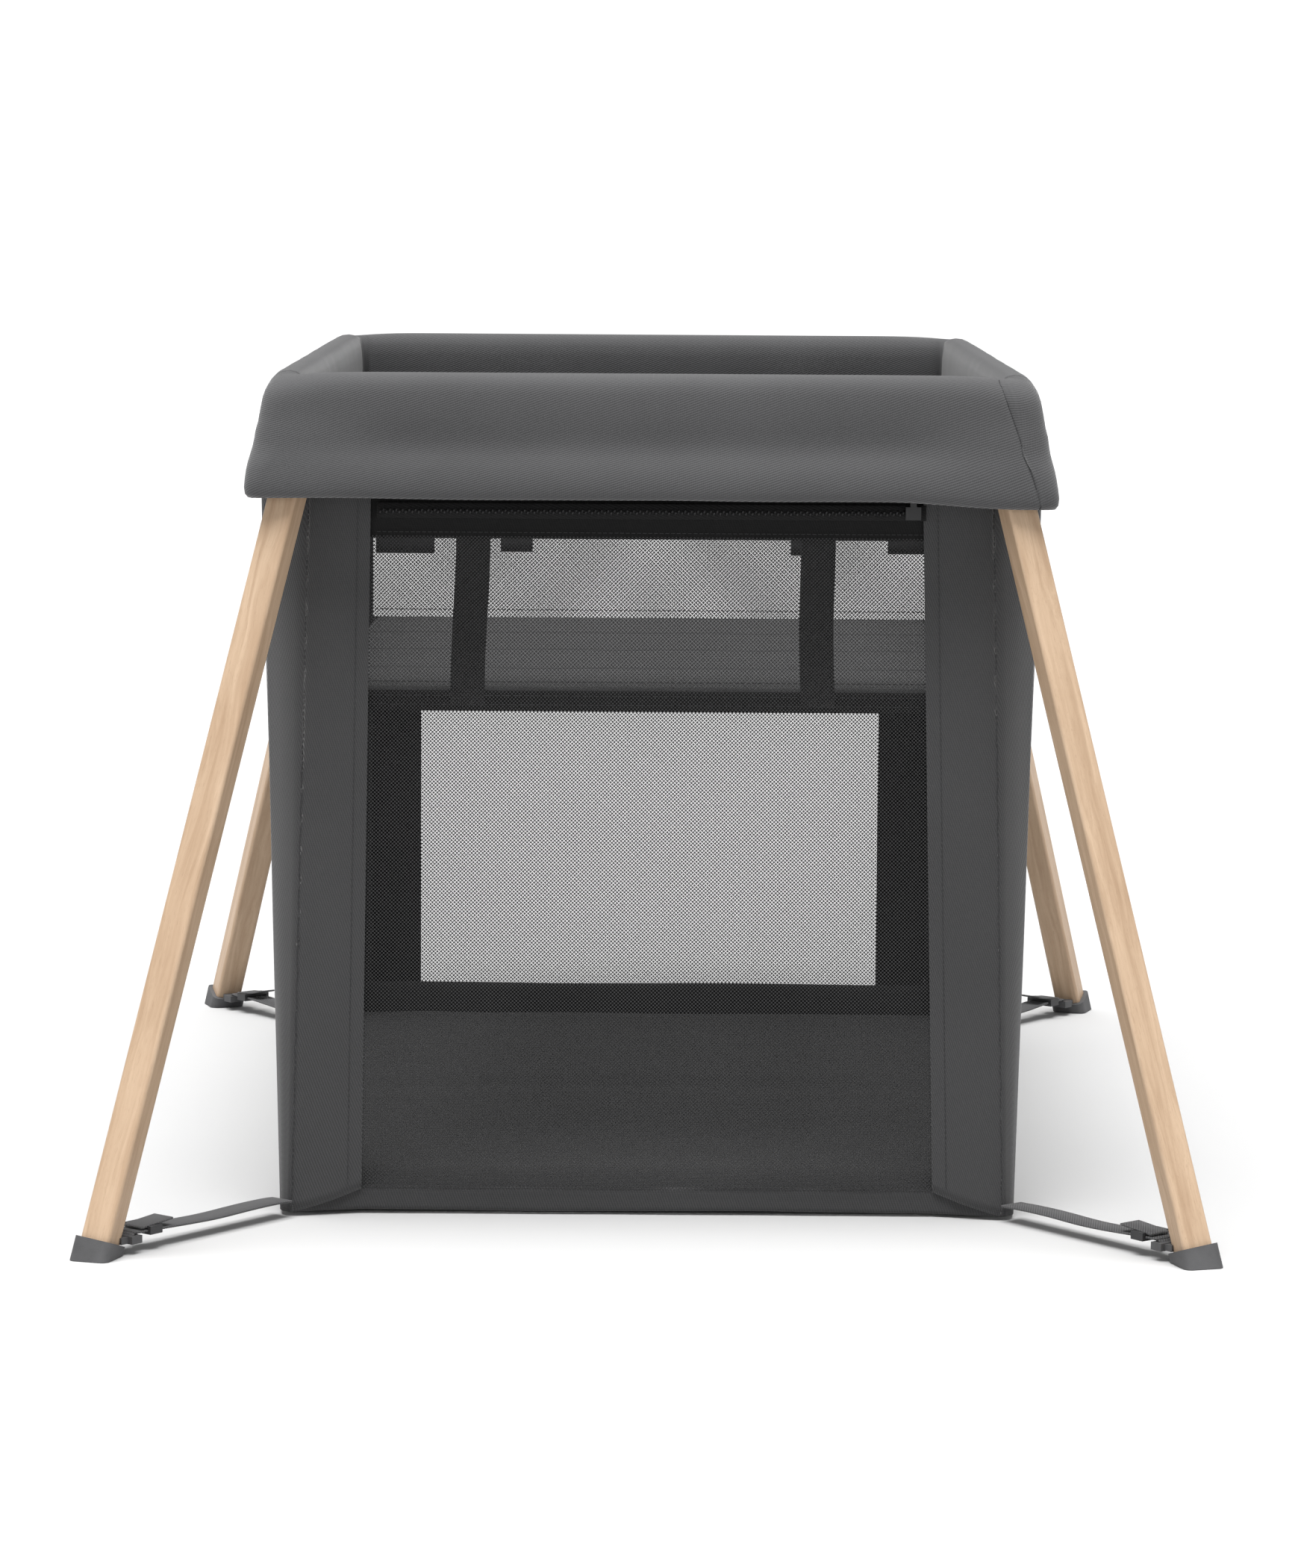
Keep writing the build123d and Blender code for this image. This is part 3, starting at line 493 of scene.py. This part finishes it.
def cover_offset(x, y, z, out, groove, sewn):
    """How far the padded cloth stands off its plain profile, outwards and upwards."""
    corner = hypot(max(0.0, COVER_X - abs(x)), max(0.0, COVER_Y - abs(y)))
    settle = -5.5 * exp(-(corner / 38) ** 2) * smooth(z, 600, 660)
    if out < -38:
        from_corner = min(abs(abs(x) - (COVER_X - SIDE_DEPTH)), 60) if abs(y) > 380 else 60
        pleat = 1.5 * cos(2 * pi * from_corner / 12) * max(0, 1 - from_corner / 40)
        return pleat + 0.8 * wave(x, y, z * 0.4, 40), 0.5 * wave(x, y, 0, 60)
    hanging = max(0.0, min(1.0, (640 - z) / 70))
    fill = 6.0 * (1 - smooth(corner, 12, 120)) * exp(-((z - 611) / 14) ** 2)
    fill += 1.4 * (1 - smooth(corner, 10, 70)) * smooth(z, 612, 622) * (1 - smooth(z, 652, 662))
    ripple = (0.6 + 1.5 * hanging) * wave(x * 0.8, y * 0.8, z * 0.45, 75)
    fine = 0.35 * wave(x, y, z * 0.7, 16)
    pucker = groove * (1.2 + 0.25 * cos(2 * pi * z / 9.5))
    drop = 1.5 * hanging * wave(x, y, 31, 120)
    if sewn:
        drop -= 6.5 * hanging * (1 - smooth(corner, 10, 120))
    return fill + ripple + fine - pucker, drop + settle


def cover_rows(stations):
    """One row of profile points for each station, which is a function of half sizes, radius and height.

    Beside each station stands how deep the sewn groove is there.
    """
    rows = []
    for station, groove in stations:
        row = []
        for out, z, radius in COVER_PROFILE:
            inward = out * SIDE_DEPTH / END_DEPTH if out < 0 else out
            x, y, nx, ny = station(COVER_X + inward, COVER_Y + out, radius, z)
            away, drop = cover_offset(x, y, z, out, groove, x > 0 > y)
            row.append((x + nx * away, y + ny * away, z + drop))
        rows.append(row)
    return rows


def corner_station(sign, angle):
    def place(hx, hy, r, z):
        a = radians(angle)
        return sign * (hx - r + r * sin(a)), -(hy - r + r * cos(a)), sign * sin(a), -cos(a)
    return place


def front_station(share):
    def place(hx, hy, r, z):
        return share * (hx - r), -hy, 0.0, -1.0
    return place


def seam_station(beside):
    """A station beside the sewn line, which slants outwards as it goes down.

    beside is -1 at the last plain station, 0 on the line and 1 where the corner's round begins.
    """
    def place(hx, hy, r, z):
        slant = max(0.0, min(1.0, (RAIL_TOP - z) / SKIRT_H)) if hy > OUTER_FROM else 0.0
        seam = min(SEW_TOP + (SEW_FOOT - SEW_TOP) * slant, hx - 4 if slant else hx - r - 2)
        end = LAST_SHARE * (hx - r) if beside < 0 else hx - r
        x = seam + (end - seam) * abs(beside)
        return x, -hy, 0.0, -1.0
    return place


def stub_station(sign, share):
    def place(hx, hy, r, z):
        near = COVER_SPLIT_Y + SPLIT_GAP
        return sign * hx, -(near + (hy - r - near) * share), float(sign), 0.0
    return place


def side_station(y):
    def place(hx, hy, r, z):
        return hx, y, 1.0, 0.0
    return place


def end_stations():
    """From the left split line round the front to the right split line; the sewn corner is on the right."""
    made = [(stub_station(-1, s), 0.0) for s in steps(0, 1, 4)[:-1]]
    made += [(corner_station(-1, a), 0.0) for a in steps(90, 0, 9)[:-1]]
    made += [(front_station(s), 0.0) for s in steps(-1, LAST_SHARE, 44)]
    made += [(seam_station(b), g) for b, g in ((-0.6, 0), (-0.3, 0), (-0.14, -0.1), (-0.06, 0.3), (0, 1.0))]
    made += [(seam_station(b), g) for b, g in ((0.2, 0.3), (0.5, -0.1))]
    made += [(corner_station(1, a), 0.0) for a in steps(0, 90, 9)]
    made += [(stub_station(1, s), 0.0) for s in reversed(steps(0, 1, 4)[:-1])]
    return made


def turned_to_rear(rows):
    """The same piece at the rear end, turned half way round."""
    return [[(-x, -y, z) for x, y, z in row] for row in rows]


def seam_line(rows, index, first, last, proud):
    """Points along one station's outer profile, standing a little off the cloth."""
    path = [Vector(p) for p in rows[index][first:last]]
    return [p + Vector((0, -proud if p.y < 0 else proud, 0)) for p in path]


def make_covers():
    rows = cover_rows(end_stations())
    seam = next(i for i, (_, groove) in enumerate(end_stations()) if groove == 1.0)
    for end in ("front", "rear"):
        placed = rows if end == "front" else turned_to_rear(rows)
        cover = grid(f"{end}_padded_cover", placed, around=True, capped=True)
        finish_piece(cover, COVER, f"{end}_frame", [f"{end}_rail_cover"])
        thread = stitches(f"{end}_cover_seam", seam_line(placed, seam, *SEWN_POINTS, 0.25), 2.2, 1.0, 0.34)
        finish_piece(thread, THREAD, f"{end}_frame")
    reach = COVER_SPLIT_Y - SPLIT_GAP
    for side, sign in SIDES:
        rows = cover_rows([(side_station(y), 0.0) for y in steps(-reach, reach, 56)])
        if sign < 0:
            rows = [[(-x, y, z) for x, y, z in row] for row in reversed(rows)]
        cover = grid(f"{side}_padded_cover", rows, around=True, capped=True)
        finish_piece(cover, COVER, "front_frame", [f"{side}_rail_cover"])
        crumple(cover)


# --- fabric box ---------------------------------------------------------------------------------
def panel_line(z, end, lap=0.0):
    """The corner panel's bends at one height, from the window to the side wall. lap widens it at the rail."""
    part = (z - WALL_BOTTOM) / (WALL_MEETS_RAIL - WALL_BOTTOM)
    window_low, window_high = WINDOW[end]
    low = (
        (window_low + 1, -WALL_Y), (SEAM_LOW, -TIP_Y), (SIDE_LOW, -CHAMFER_LOW), (SIDE_LOW, -PANEL_END),
    )
    high = (
        (window_high + 1 - lap, -WALL_Y), (SEAM_HIGH, -WALL_Y), (SIDE_HIGH, -CHAMFER_HIGH),
        (SIDE_HIGH, -PANEL_END),
    )
    return [Vector((a[0] + (b[0] - a[0]) * part, a[1] + (b[1] - a[1]) * part)) for a, b in zip(low, high)]


def panel_rows(end, lap):
    """Rows from foot to rail; the lower edge rises from the corner to the window."""
    shares = [0, 0.02, 0.07, 0.2, 0.4, 0.6, 0.8, 0.93, 0.98, 1]
    rows = []
    for h in steps(0, 1, PANEL_ROWS):
        row = []
        for stretch in range(3):
            for share in shares[:-1] if stretch < 2 else shares:
                spot = stretch + share
                rise = HEM_RISE[end] * max(0, 1 - spot) ** 1.2 * (1 - h) ** 3
                z = WALL_BOTTOM + 1 + rise + h * (CLOTH_TOP - WALL_BOTTOM)
                bends = panel_line(z, end, lap)
                here = bends[stretch].lerp(bends[stretch + 1], share)
                edge = bends[stretch + 1] - bends[stretch]
                out = Vector((edge.y, -edge.x)).normalized()
                billow = (1.5 + 1.4 * wave(spot * 90, z * 0.35, 3, 70)) * sin(pi * share)
                top = max(0, (z - 520) / 60)
                gather = 1.1 * top * sin(2 * pi * spot * 4.3 + z / 60) * sin(pi * min(spot / 2, 1))
                at_seam = max(0, 1 - abs(spot - 1) / 0.08)
                pucker = at_seam * (2.1 + 0.7 * sin(2 * pi * z / 12.5))
                hem = 0.9 * max(0, 1 - abs(spot - 0.16) / 0.07)
                here = here + out * (billow + gather - pucker - hem + 0.6)
                row.append((here.x, here.y, z))
        rows.append(row)
    return rows


def placed_rows(rows, left, rear):
    """A corner's rows carried to another corner, kept the same way out."""
    sx, sy = (-1 if left else 1), (-1 if rear else 1)
    moved = [[(sx * x, sy * y, z) for x, y, z in row] for row in rows]
    return [list(reversed(row)) for row in moved] if left != rear else moved


def thickened(obj, thickness):
    """Give a cloth surface its thickness, inwards."""
    solid = obj.modifiers.new("thickness", "SOLIDIFY")
    solid.thickness = thickness * MM
    solid.offset = -1
    bpy.context.view_layer.objects.active = obj
    with bpy.context.temp_override(object=obj, active_object=obj, selected_objects=[obj]):
        bpy.ops.object.modifier_apply(modifier=solid.name)
    return obj


def panel_stitches(name, rows, left, rear):
    """Thread down the corner seam and down the hem beside the window."""
    sx, sy = (-1 if left else 1), (1 if rear else -1)
    seam, hem = [], []
    for h in steps(0.02, 0.97, 60):
        row = rows[round(h * PANEL_ROWS)]
        corner, near_window = row[CORNER_POINT], row[HEM_POINT]
        seam.append(Vector((sx * corner[0], sy * (-corner[1] + 0.2), corner[2])))
        hem.append(Vector((sx * near_window[0], sy * (-near_window[1] + 0.25), near_window[2])))
    lines = [stitches(f"{name}_a", seam, *STITCH), stitches(f"{name}_b", hem, *STITCH, FINE_THREAD)]
    return join(f"{name}_panel_stitches", lines)


def make_corner_panels():
    for rear in (False, True):
        end = "rear" if rear else "front"
        for left in (True, False):
            name = f"{end}_{'left' if left else 'right'}"
            rows = panel_rows(end, 0.0 if rear or left else PANEL_LAP)
            panel = thickened(grid(f"{name}_corner_panel", placed_rows(rows, left, rear)), CLOTH_T)
            finish_piece(panel, PANEL, f"{end}_frame", [f"{end}_corner_panels"])
            thread = panel_stitches(name, rows, left, rear)
            finish_piece(thread, THREAD, f"{end}_frame")


def flat_wall(name, half_width, z0, z1, y, sag=0.0, across=24, up=24):
    """A wall across the yard at y, whose half width is a function of height."""
    rows = []
    for z in steps(z0, z1, up):
        half = half_width(z)
        row = []
        for x in steps(-half, half, across):
            belly = sag * cos(pi * x / (2 * half)) * sin(pi * (z - z0) / (z1 - z0))
            belly += 0.25 * sag * wave(x, y, z, 90)
            row.append((x, y + belly, z))
        rows.append(row)
    return grid(name, rows)


def window_half(z, end):
    return between(*WINDOW[end], WALL_BOTTOM, WALL_MEETS_RAIL, min(z, WALL_MEETS_RAIL)) + 2


def lower_band(end):
    """The band below the window; its ends follow the corners that the tethers draw out."""
    sy = -1 if end == "front" else 1
    rows = []
    for z in steps(WALL_BOTTOM + 0.8, BAND_LOW[end], 6):
        row = []
        for x in steps(-SEAM_LOW, SEAM_LOW, 60):
            drawn = max(0, (abs(x) - WINDOW[end][0]) / (SEAM_LOW - WINDOW[end][0]))
            y = WALL_Y - 1.6 + (TIP_Y - WALL_Y) * drawn * (1 - z / WALL_MEETS_RAIL)
            y += 0.7 * wave(x, z, 5, 60)
            row.append((x, sy * y, z + 1.0 * wave(x, 0, 9, 150)))
        rows.append(row)
    return grid(f"{end}_lower_band", rows)


def make_end_walls():
    for end, sy in ENDS:
        body = f"{end}_frame"
        low = BAND_LOW[end]
        half = WINDOW[end][0]
        name = f"{end}_window_net"
        y = sy * (WALL_Y - 1)
        net = flat_wall(name, lambda z: window_half(z, end), low - 2, BAND_HIGH + 2, y, sag=-sy * 2.0)
        finish_piece(net, WALL_NET[end], body, [f"{end}_end_wall"])
        band = thickened(lower_band(end), CLOTH_T)
        finish_piece(band, SHADE_CLOTH, body)
        name = f"{end}_upper_band"
        y = sy * (WALL_Y - 2.5)
        upper = flat_wall(name, lambda z: BAND_HALF, BAND_HIGH, WALL_TOP, y, sag=-sy, across=40)
        finish_piece(thickened(upper, 1.0), DARK_CLOTH, body)
        low_line = [Vector((x, sy * (WALL_Y + 0.2), low - 3.2)) for x in steps(-half, half, 60)]
        high_line = [
            Vector((x, sy * (WALL_Y - 0.6), BAND_HIGH + 5)) for x in steps(-LINE_HALF, LINE_HALF, 60)
        ]
        thread = join(f"{end}_band_stitches", [
            stitches(f"{end}_a", low_line, *STITCH, FINE_THREAD),
            stitches(f"{end}_b", high_line, *STITCH, FINE_THREAD),
        ])
        finish_piece(thread, THREAD, body)
    width = BORDER_OUT - BORDER_IN
    foot = BAND_LOW["rear"] - 4
    for side, sign in SIDES:
        middle = sign * (BORDER_IN + BORDER_OUT) / 2
        path = [Vector((middle, WALL_Y + 0.9, z)) for z in steps(foot, BORDER_HIGH, 24)]
        border = strip(f"rear_{side}_border", path, Vector((width, 0, 0)), 0.9)
        finish_piece(border, DARK_CLOTH, "rear_frame")


def make_zipper():
    """Tape with a row of interlocked teeth."""
    y = -WALL_Y - 1.4
    path = [Vector((x, y, ZIP_Z)) for x in steps(-ZIP_HALF, ZIP_HALF, 50)]
    tape = strip("zipper_tape", path, Vector((0, 0, TAPE_W)), 0.9)
    finish_piece(tape, DARK_CLOTH, "front_frame")
    teeth = []
    first = -ZIP_HALF + 3
    for i in range(int(-2 * first / TOOTH_PITCH)):
        x = first + i * TOOTH_PITCH
        z = ZIP_Z + (0.7 if i % 2 else -0.7)
        low, high = Vector((x - 0.5, y - 1.0, z - 1.5)), Vector((x + 0.5, y - 1.0, z + 1.5))
        teeth.append(tube("tooth", [low, Vector((x, y - 1.9, z)), high], 0.62, 6))
    finish_piece(join("zipper_teeth", teeth), ZIP_METAL, "front_frame")


def side_half(z):
    return between(SIDE_LOW, SIDE_HIGH, WALL_BOTTOM, WALL_MEETS_RAIL, z)


def side_sheet(name, sign, z0, z1, inset, up):
    """Part of a side wall, hollowed a little between its seams."""
    rows = []
    for z in steps(z0, z1, up):
        hollow = 2.4 * sin(pi * (z - WALL_BOTTOM) / (WALL_TOP - WALL_BOTTOM))
        row = []
        for y in steps(-SIDE_REACH, SIDE_REACH, 48):
            belly = hollow * cos(pi * y / (2 * SIDE_REACH))
            row.append((sign * (side_half(min(z, WALL_MEETS_RAIL)) - inset - belly), y, z))
        rows.append(row)
    return grid(name, rows)


def make_side_walls():
    foot = BAND_LOW["rear"]
    for side, sign in SIDES:
        net = side_sheet(f"{side}_wall_net", sign, foot - 2, BAND_HIGH + 2, 1.6, 20)
        low = side_sheet(f"{side}_lower_band", sign, WALL_BOTTOM + 0.5, foot, 0.6, 5)
        high = side_sheet(f"{side}_upper_band", sign, BAND_HIGH, CLOTH_TOP, 0.6, 5)
        for obj, material, slot, nodes, height in (
            (net, WALL_NET["front"], "wall_mesh", [f"{side}_mesh_wall"], BAND_HIGH + 4 - foot),
            (thickened(low, CLOTH_T), PANEL, "panel_twill", [], foot - WALL_BOTTOM),
            (thickened(high, CLOTH_T), PANEL, "panel_twill", [], CLOTH_TOP - BAND_HIGH),
        ):
            finish_piece(obj, material, "front_frame", nodes)
            crumple(obj)


def cushion_outline(x, rounding):
    """One ring of a pad: points with their height from -1 below to 1 above."""
    edge = [(x - rounding + rounding * sin(radians(a)), -cos(radians(a))) for a in steps(0, 180, 8)]
    across = steps(x - rounding, rounding - x, 26)[1:-1]
    top = [(px, 1.0) for px in across]
    other_edge = [(-px, pz) for px, pz in reversed(edge)]
    return edge + top + other_edge + [(-px, -1.0) for px in across]


def cushion_rows(x, y0, y1, z0, z1, crown, tufts=(), slope=None):
    """A closed pad as rings from y0 to y1, thin at both ends, with a sewn channel at each tuft."""
    rows = []
    rounding = (z1 - z0) / 2
    middle = (z0 + z1) / 2
    outline = cushion_outline(x, rounding)
    for share in steps(0, 1, 30):
        y = y0 + (y1 - y0) * share
        edge = min(y - y0, y1 - y)
        end = min(1.0, max(edge, 0.0) / rounding)
        half = rounding * max(0.18, (1 - (1 - end) ** 2) ** 0.5)
        channel = sum(2.2 * max(0.0, 1 - abs(y - tuft) / 7) for tuft in tufts)
        tilt = slope(y) if slope else 0
        row = []
        for px, pz in outline:
            z = middle + pz * half + tilt
            if pz > 0.5:
                z += crown * cos(pi * px / (2 * x)) * sin(pi * share) - channel + 0.8 * wave(px, y, 3, 60)
            row.append((px, y, z))
        rows.append(row)
    return rows


def make_floor():
    x, y = SIDE_LOW - 5, WALL_Y - 6
    quarter = y / 2
    rows = cushion_rows(x, -y, y, WALL_BOTTOM + 1, FLOOR_TOP - 1.5, 2.0, tufts=(-quarter, 0, quarter))
    floor = grid("floor_pad", rows, around=True, capped=True)
    finish_piece(floor, FLOOR_CLOTH, "front_frame", ["box_floor"])
    crumple(floor)


# --- hung insert --------------------------------------------------------------------------------
def insert_slope(y):
    """The insert's floor lies a little higher at the front end than at the rear."""
    share = (y + INSERT_Y) / (2 * INSERT_Y)
    return MATTRESS_NEAR_RISE - (MATTRESS_NEAR_RISE + MATTRESS_FAR_DROP) * share


def make_insert_straps(y, base):
    """Two straps down the outside of the insert's front wall; neither hangs quite straight."""
    for k, (sign, top_shift, foot_shift) in enumerate(((-1, 2, 6), (1, -7, -6))):
        top = Vector((sign * (STRAP_X + top_shift), y - 2.6, INSERT_TOP))
        foot = Vector((sign * (STRAP_X + foot_shift), y - 2.6, base + 3))
        path = []
        for t in steps(0, 1, 20):
            path.append(top.lerp(foot, t) + Vector((0.8 * sin(6 * t + k), -0.5 * sin(pi * t), 0)))
        strap = strip(f"insert_front_strap_{k + 1}", path, Vector((STRAP_W, 0, 0)), 1.4)
        finish_piece(strap, STRAP, "front_frame")


def make_insert_tabs():
    """Short tabs that hang inside the insert's rear wall."""
    for k, (x0, x1) in enumerate(REAR_TABS):
        low = TAB_LOW + 2 * (k % 2)
        path = []
        for t in steps(0, 1, 12):
            y = INSERT_Y - 3.2 - 0.5 * sin(pi * t)
            path.append(Vector(((x0 + x1) / 2, y, INSERT_TOP + (low - INSERT_TOP) * t)))
        tab = strip(f"insert_tab_{k + 1}", path, Vector((x1 - x0, 0, 0)), 1.1)
        finish_piece(tab, TAB_CLOTH, "rear_frame")


def make_insert_ends():
    for end, sy in ENDS:
        body = f"{end}_frame"
        y = sy * (INSERT_Y - 0.6)
        base = INSERT_LOW + insert_slope(y)
        net = flat_wall(f"insert_{end}_net", lambda z: INSERT_HALF, base, INSERT_TOP, y, sag=-sy * 1.2)
        finish_piece(net, INSERT_NET[end], body, [f"bassinet_{end}_wall"])
        name = f"insert_{end}_binding"
        edge = flat_wall(name, lambda z: INSERT_HALF, base - 1, base + 15, y + sy * 0.9, across=40, up=4)
        # painted shade: the front binding gets the near-black cloth to stand for the shadow under the
        # insert's front edge, and the rear binding keeps the plain band cloth
        finish_piece(thickened(edge, 0.9), SHADE_CLOTH if end == "rear" else DARK_CLOTH, body)
        lines = []
        for k, rise in enumerate((4.0, 11.0, 22.0)):
            path = [Vector((x, y + sy * 2.1, base + rise)) for x in steps(-INSERT_X + 6, INSERT_X - 6, 50)]
            lines.append(stitches(f"line_{k}", path, 3.0, 1.6, 0.4))
        finish_piece(join(f"insert_{end}_stitches", lines), THREAD, body)
        if end == "front":
            make_insert_straps(y, base)
    make_insert_tabs()


def make_sling():
    """Net side walls and a cloth floor that hangs between the insert's ends."""
    for side, sign in SIDES:
        rows = []
        for share in steps(0, 1, 14):
            row = []
            for y in steps(-INSERT_REACH, INSERT_REACH, 40):
                base = INSERT_LOW + insert_slope(y)
                z = base + (INSERT_TOP - base) * share
                belly = 1.5 * sin(pi * share) * cos(pi * y / (2 * INSERT_REACH))
                row.append((sign * (INSERT_X - 0.8 - belly), y, z))
            rows.append(row)
        wall = grid(f"insert_{side}_net", rows)
        finish_piece(wall, INSERT_NET["front"], "front_frame")
        crumple(wall)
    half = INSERT_X - 1
    rows = []
    for y in steps(-INSERT_REACH, INSERT_REACH, 40):
        rows.append([(x, y, INSERT_LOW - 0.4 + insert_slope(y)) for x in steps(-half, half, 20)])
    base = thickened(grid("insert_base", rows), CLOTH_T)
    finish_piece(base, DARK_CLOTH, "front_frame", ["bassinet_sling"])
    crumple(base)


def make_mattress():
    for n in range(PANELS):
        y0 = (n - PANELS / 2) * PANEL_L + 0.3
        y1 = y0 + PANEL_L - 0.6
        low = MATTRESS_TOP - MATTRESS_T
        rows = cushion_rows(PANEL_HALF_W, y0, y1, low, MATTRESS_TOP, 1.2, slope=insert_slope)
        pad = grid(f"mattress_pad_{n + 1}", rows, around=True, capped=True)
        finish_piece(pad, MATTRESS_CLOTH, f"mattress_{n + 1}", [f"mattress_panel_{n + 1}"])


# --- tethers ------------------------------------------------------------------------------------
def make_tether(left, rear):
    """Webbing from one foot's loop to the box's corner, with a turned end and a loose tail."""
    end, side = ("rear" if rear else "front"), ("left" if left else "right")
    sx, sy = (-1 if left else 1), (-1 if rear else 1)

    def placed(point):
        return Vector((sx * point.x, sy * point.y, point.z))

    along = (BOX_CORNER - FOOT).normalized()
    across = placed(Vector((along.y, -along.x, 0)))
    length = (BOX_CORNER - FOOT).length
    start = FOOT + along * (LUG_REACH + 2.0)
    path = []
    for t in steps(0, 1, 26):
        here = start.lerp(FOOT + along * (length + 3), t)
        sag = -2.4 * sin(pi * t) + (2.2 if rear else 0.8) * wave(t * 60, 7 * sx, 0, 20)
        here.z += WEB_RISE + sag * (0 if t in (0, 1) else 1) - 3.0 * t ** 6
        path.append(placed(here))
    web = strip(f"{end}_{side}_tether", path, across * WEB_W, WEB_T)
    centre = start + along * 0.6 + Vector((0, 0, 0.6))
    loop = []
    for a in steps(60, 300, 10):
        out, rise = TURN_R * cos(radians(a)), TURN_R * sin(radians(a))
        loop.append(placed(centre + along * out + Vector((0, 0, rise))))
    turn = strip(f"{end}_{side}_tether_loop", loop, across * (WEB_W - 0.8), WEB_T)
    tail = []
    for t in steps(0, 1, 10):
        here = start + along * (8 + TAIL_L * t)
        here.z += WEB_RISE + 2.3 + 2.2 * t + (3.0 * t * t if rear else 0.6 * t)
        tail.append(placed(here))
    tail_strip = strip(f"{end}_{side}_tether_tail", tail, across * (WEB_W - 1.5), WEB_T)
    web.data.materials.append(WEBBING)
    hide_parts(f"{end}_tether_straps")
    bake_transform(web)
    for extra, extra_length in ((turn, TURN_L), (tail_strip, TAIL_L)):
        finish_piece(extra, WEBBING, f"leg_{end}_{side}")


def make_tethers():
    for rear in (False, True):
        for left in (False, True):
            make_tether(left, rear)


# --- finishes of the CAD pieces that show as they are --------------------------------------------
def finish_cad():
    """Wood for each leg along its own grain, and a finish for each other CAD piece that shows."""
    nodes = frame["nodes"]
    line = LEG_TOP - LEG_FOOT
    for rear in (False, True):
        for left in (False, True):
            sx, sy = (-1 if left else 1), (-1 if rear else 1)
            along = Vector((sx * line.x, sy * line.y, line.z)).normalized()
            corner = f"{'rear' if rear else 'front'}_{'left' if left else 'right'}"
            leg = nodes[f"leg_{corner}"].data.materials
            leg.clear()
            leg.append(wood_material(f"leg_wood_{corner}", along, 0.04 if left else 0.0))
    finishes = (
        ("foot_cap", RUBBER), ("leg_insert", NYLON), ("corner_hubs", NYLON), ("hinge_housing", NYLON),
        ("strap_buckle", NYLON), ("rail_tube", ALUMINIUM), ("end_rail", ALUMINIUM), ("pin", STEEL),
        ("spring", STEEL), ("bolt", STEEL), ("release_button", BUTTON), ("slider", ZIP_METAL),
    )
    for name, obj in nodes.items():
        for word, material in finishes:
            if word in name:
                for slot in obj.material_slots:
                    slot.material = material
                break


# --- stage --------------------------------------------------------------------------------------
def make_stage():
    """A round pale floor inside a bright ring wall, a high soft sun and a dim even world."""
    around = [(cos(radians(a)), sin(radians(a))) for a in steps(0, 360, 48)]
    rings = [[(r * x, r * y, FLOOR_Z) for x, y in around] for r in (1.0, 3000.0, STAGE_R)]
    floor = grid("studio_floor", rings)
    made = Recipe("studio_floor", 0.95)
    tone = made.noise(made.place(), 0.4, 1.0)
    made.colour(made.blend(tone, (0.55, 0.55, 0.55), (0.58, 0.58, 0.58)))
    floor.data.materials.append(made.material)
    tall = [[(STAGE_R * x, STAGE_R * y, z) for x, y in around] for z in (-1.0, BACKDROP_H)]
    backdrop = grid("studio_wall", tall)
    bright = Recipe("studio_wall", 1.0, Emission_Color=(1, 1, 1, 1), Emission_Strength=1.05)
    bright.colour((0.0, 0.0, 0.0, 1.0))
    backdrop.data.materials.append(bright.material)
    world = bpy.data.worlds.new("studio_world")
    world.use_nodes = True
    world.node_tree.nodes["Background"].inputs["Color"].default_value = (1, 1, 1, 1)
    world.node_tree.nodes["Background"].inputs["Strength"].default_value = 0.3
    bpy.context.scene.world = world
    sun = bpy.data.lights.new("studio_sun", "SUN")
    sun.energy = 5.3
    sun.angle = radians(50)
    high = bpy.data.objects.new("studio_sun", sun)
    high.rotation_euler = Vector((0.06, 0.17, -1.0)).to_track_quat("-Z", "Y").to_euler()
    bpy.context.scene.collection.objects.link(high)


def make_camera():
    lens = bpy.data.cameras.new("camera")
    lens.sensor_width = 36.0
    lens.lens = 117.4
    lens.clip_end = 100.0
    camera = bpy.data.objects.new("camera", lens)
    place = Matrix.Translation((-0.00045, -4.3895, 0.837))
    tilt = Matrix.Rotation(radians(90 - 7.06), 4, "X")
    roll = Matrix.Rotation(radians(0.38), 4, "Z")
    camera.matrix_world = place @ tilt @ roll
    bpy.context.scene.collection.objects.link(camera)
    bpy.context.scene.camera = camera
    bpy.context.scene.view_settings.view_transform = "Standard"


make_camera()
make_stage()
make_covers()
make_corner_panels()
make_end_walls()
make_zipper()
make_side_walls()
make_floor()
make_insert_ends()
make_sling()
make_mattress()
make_tethers()
finish_cad()
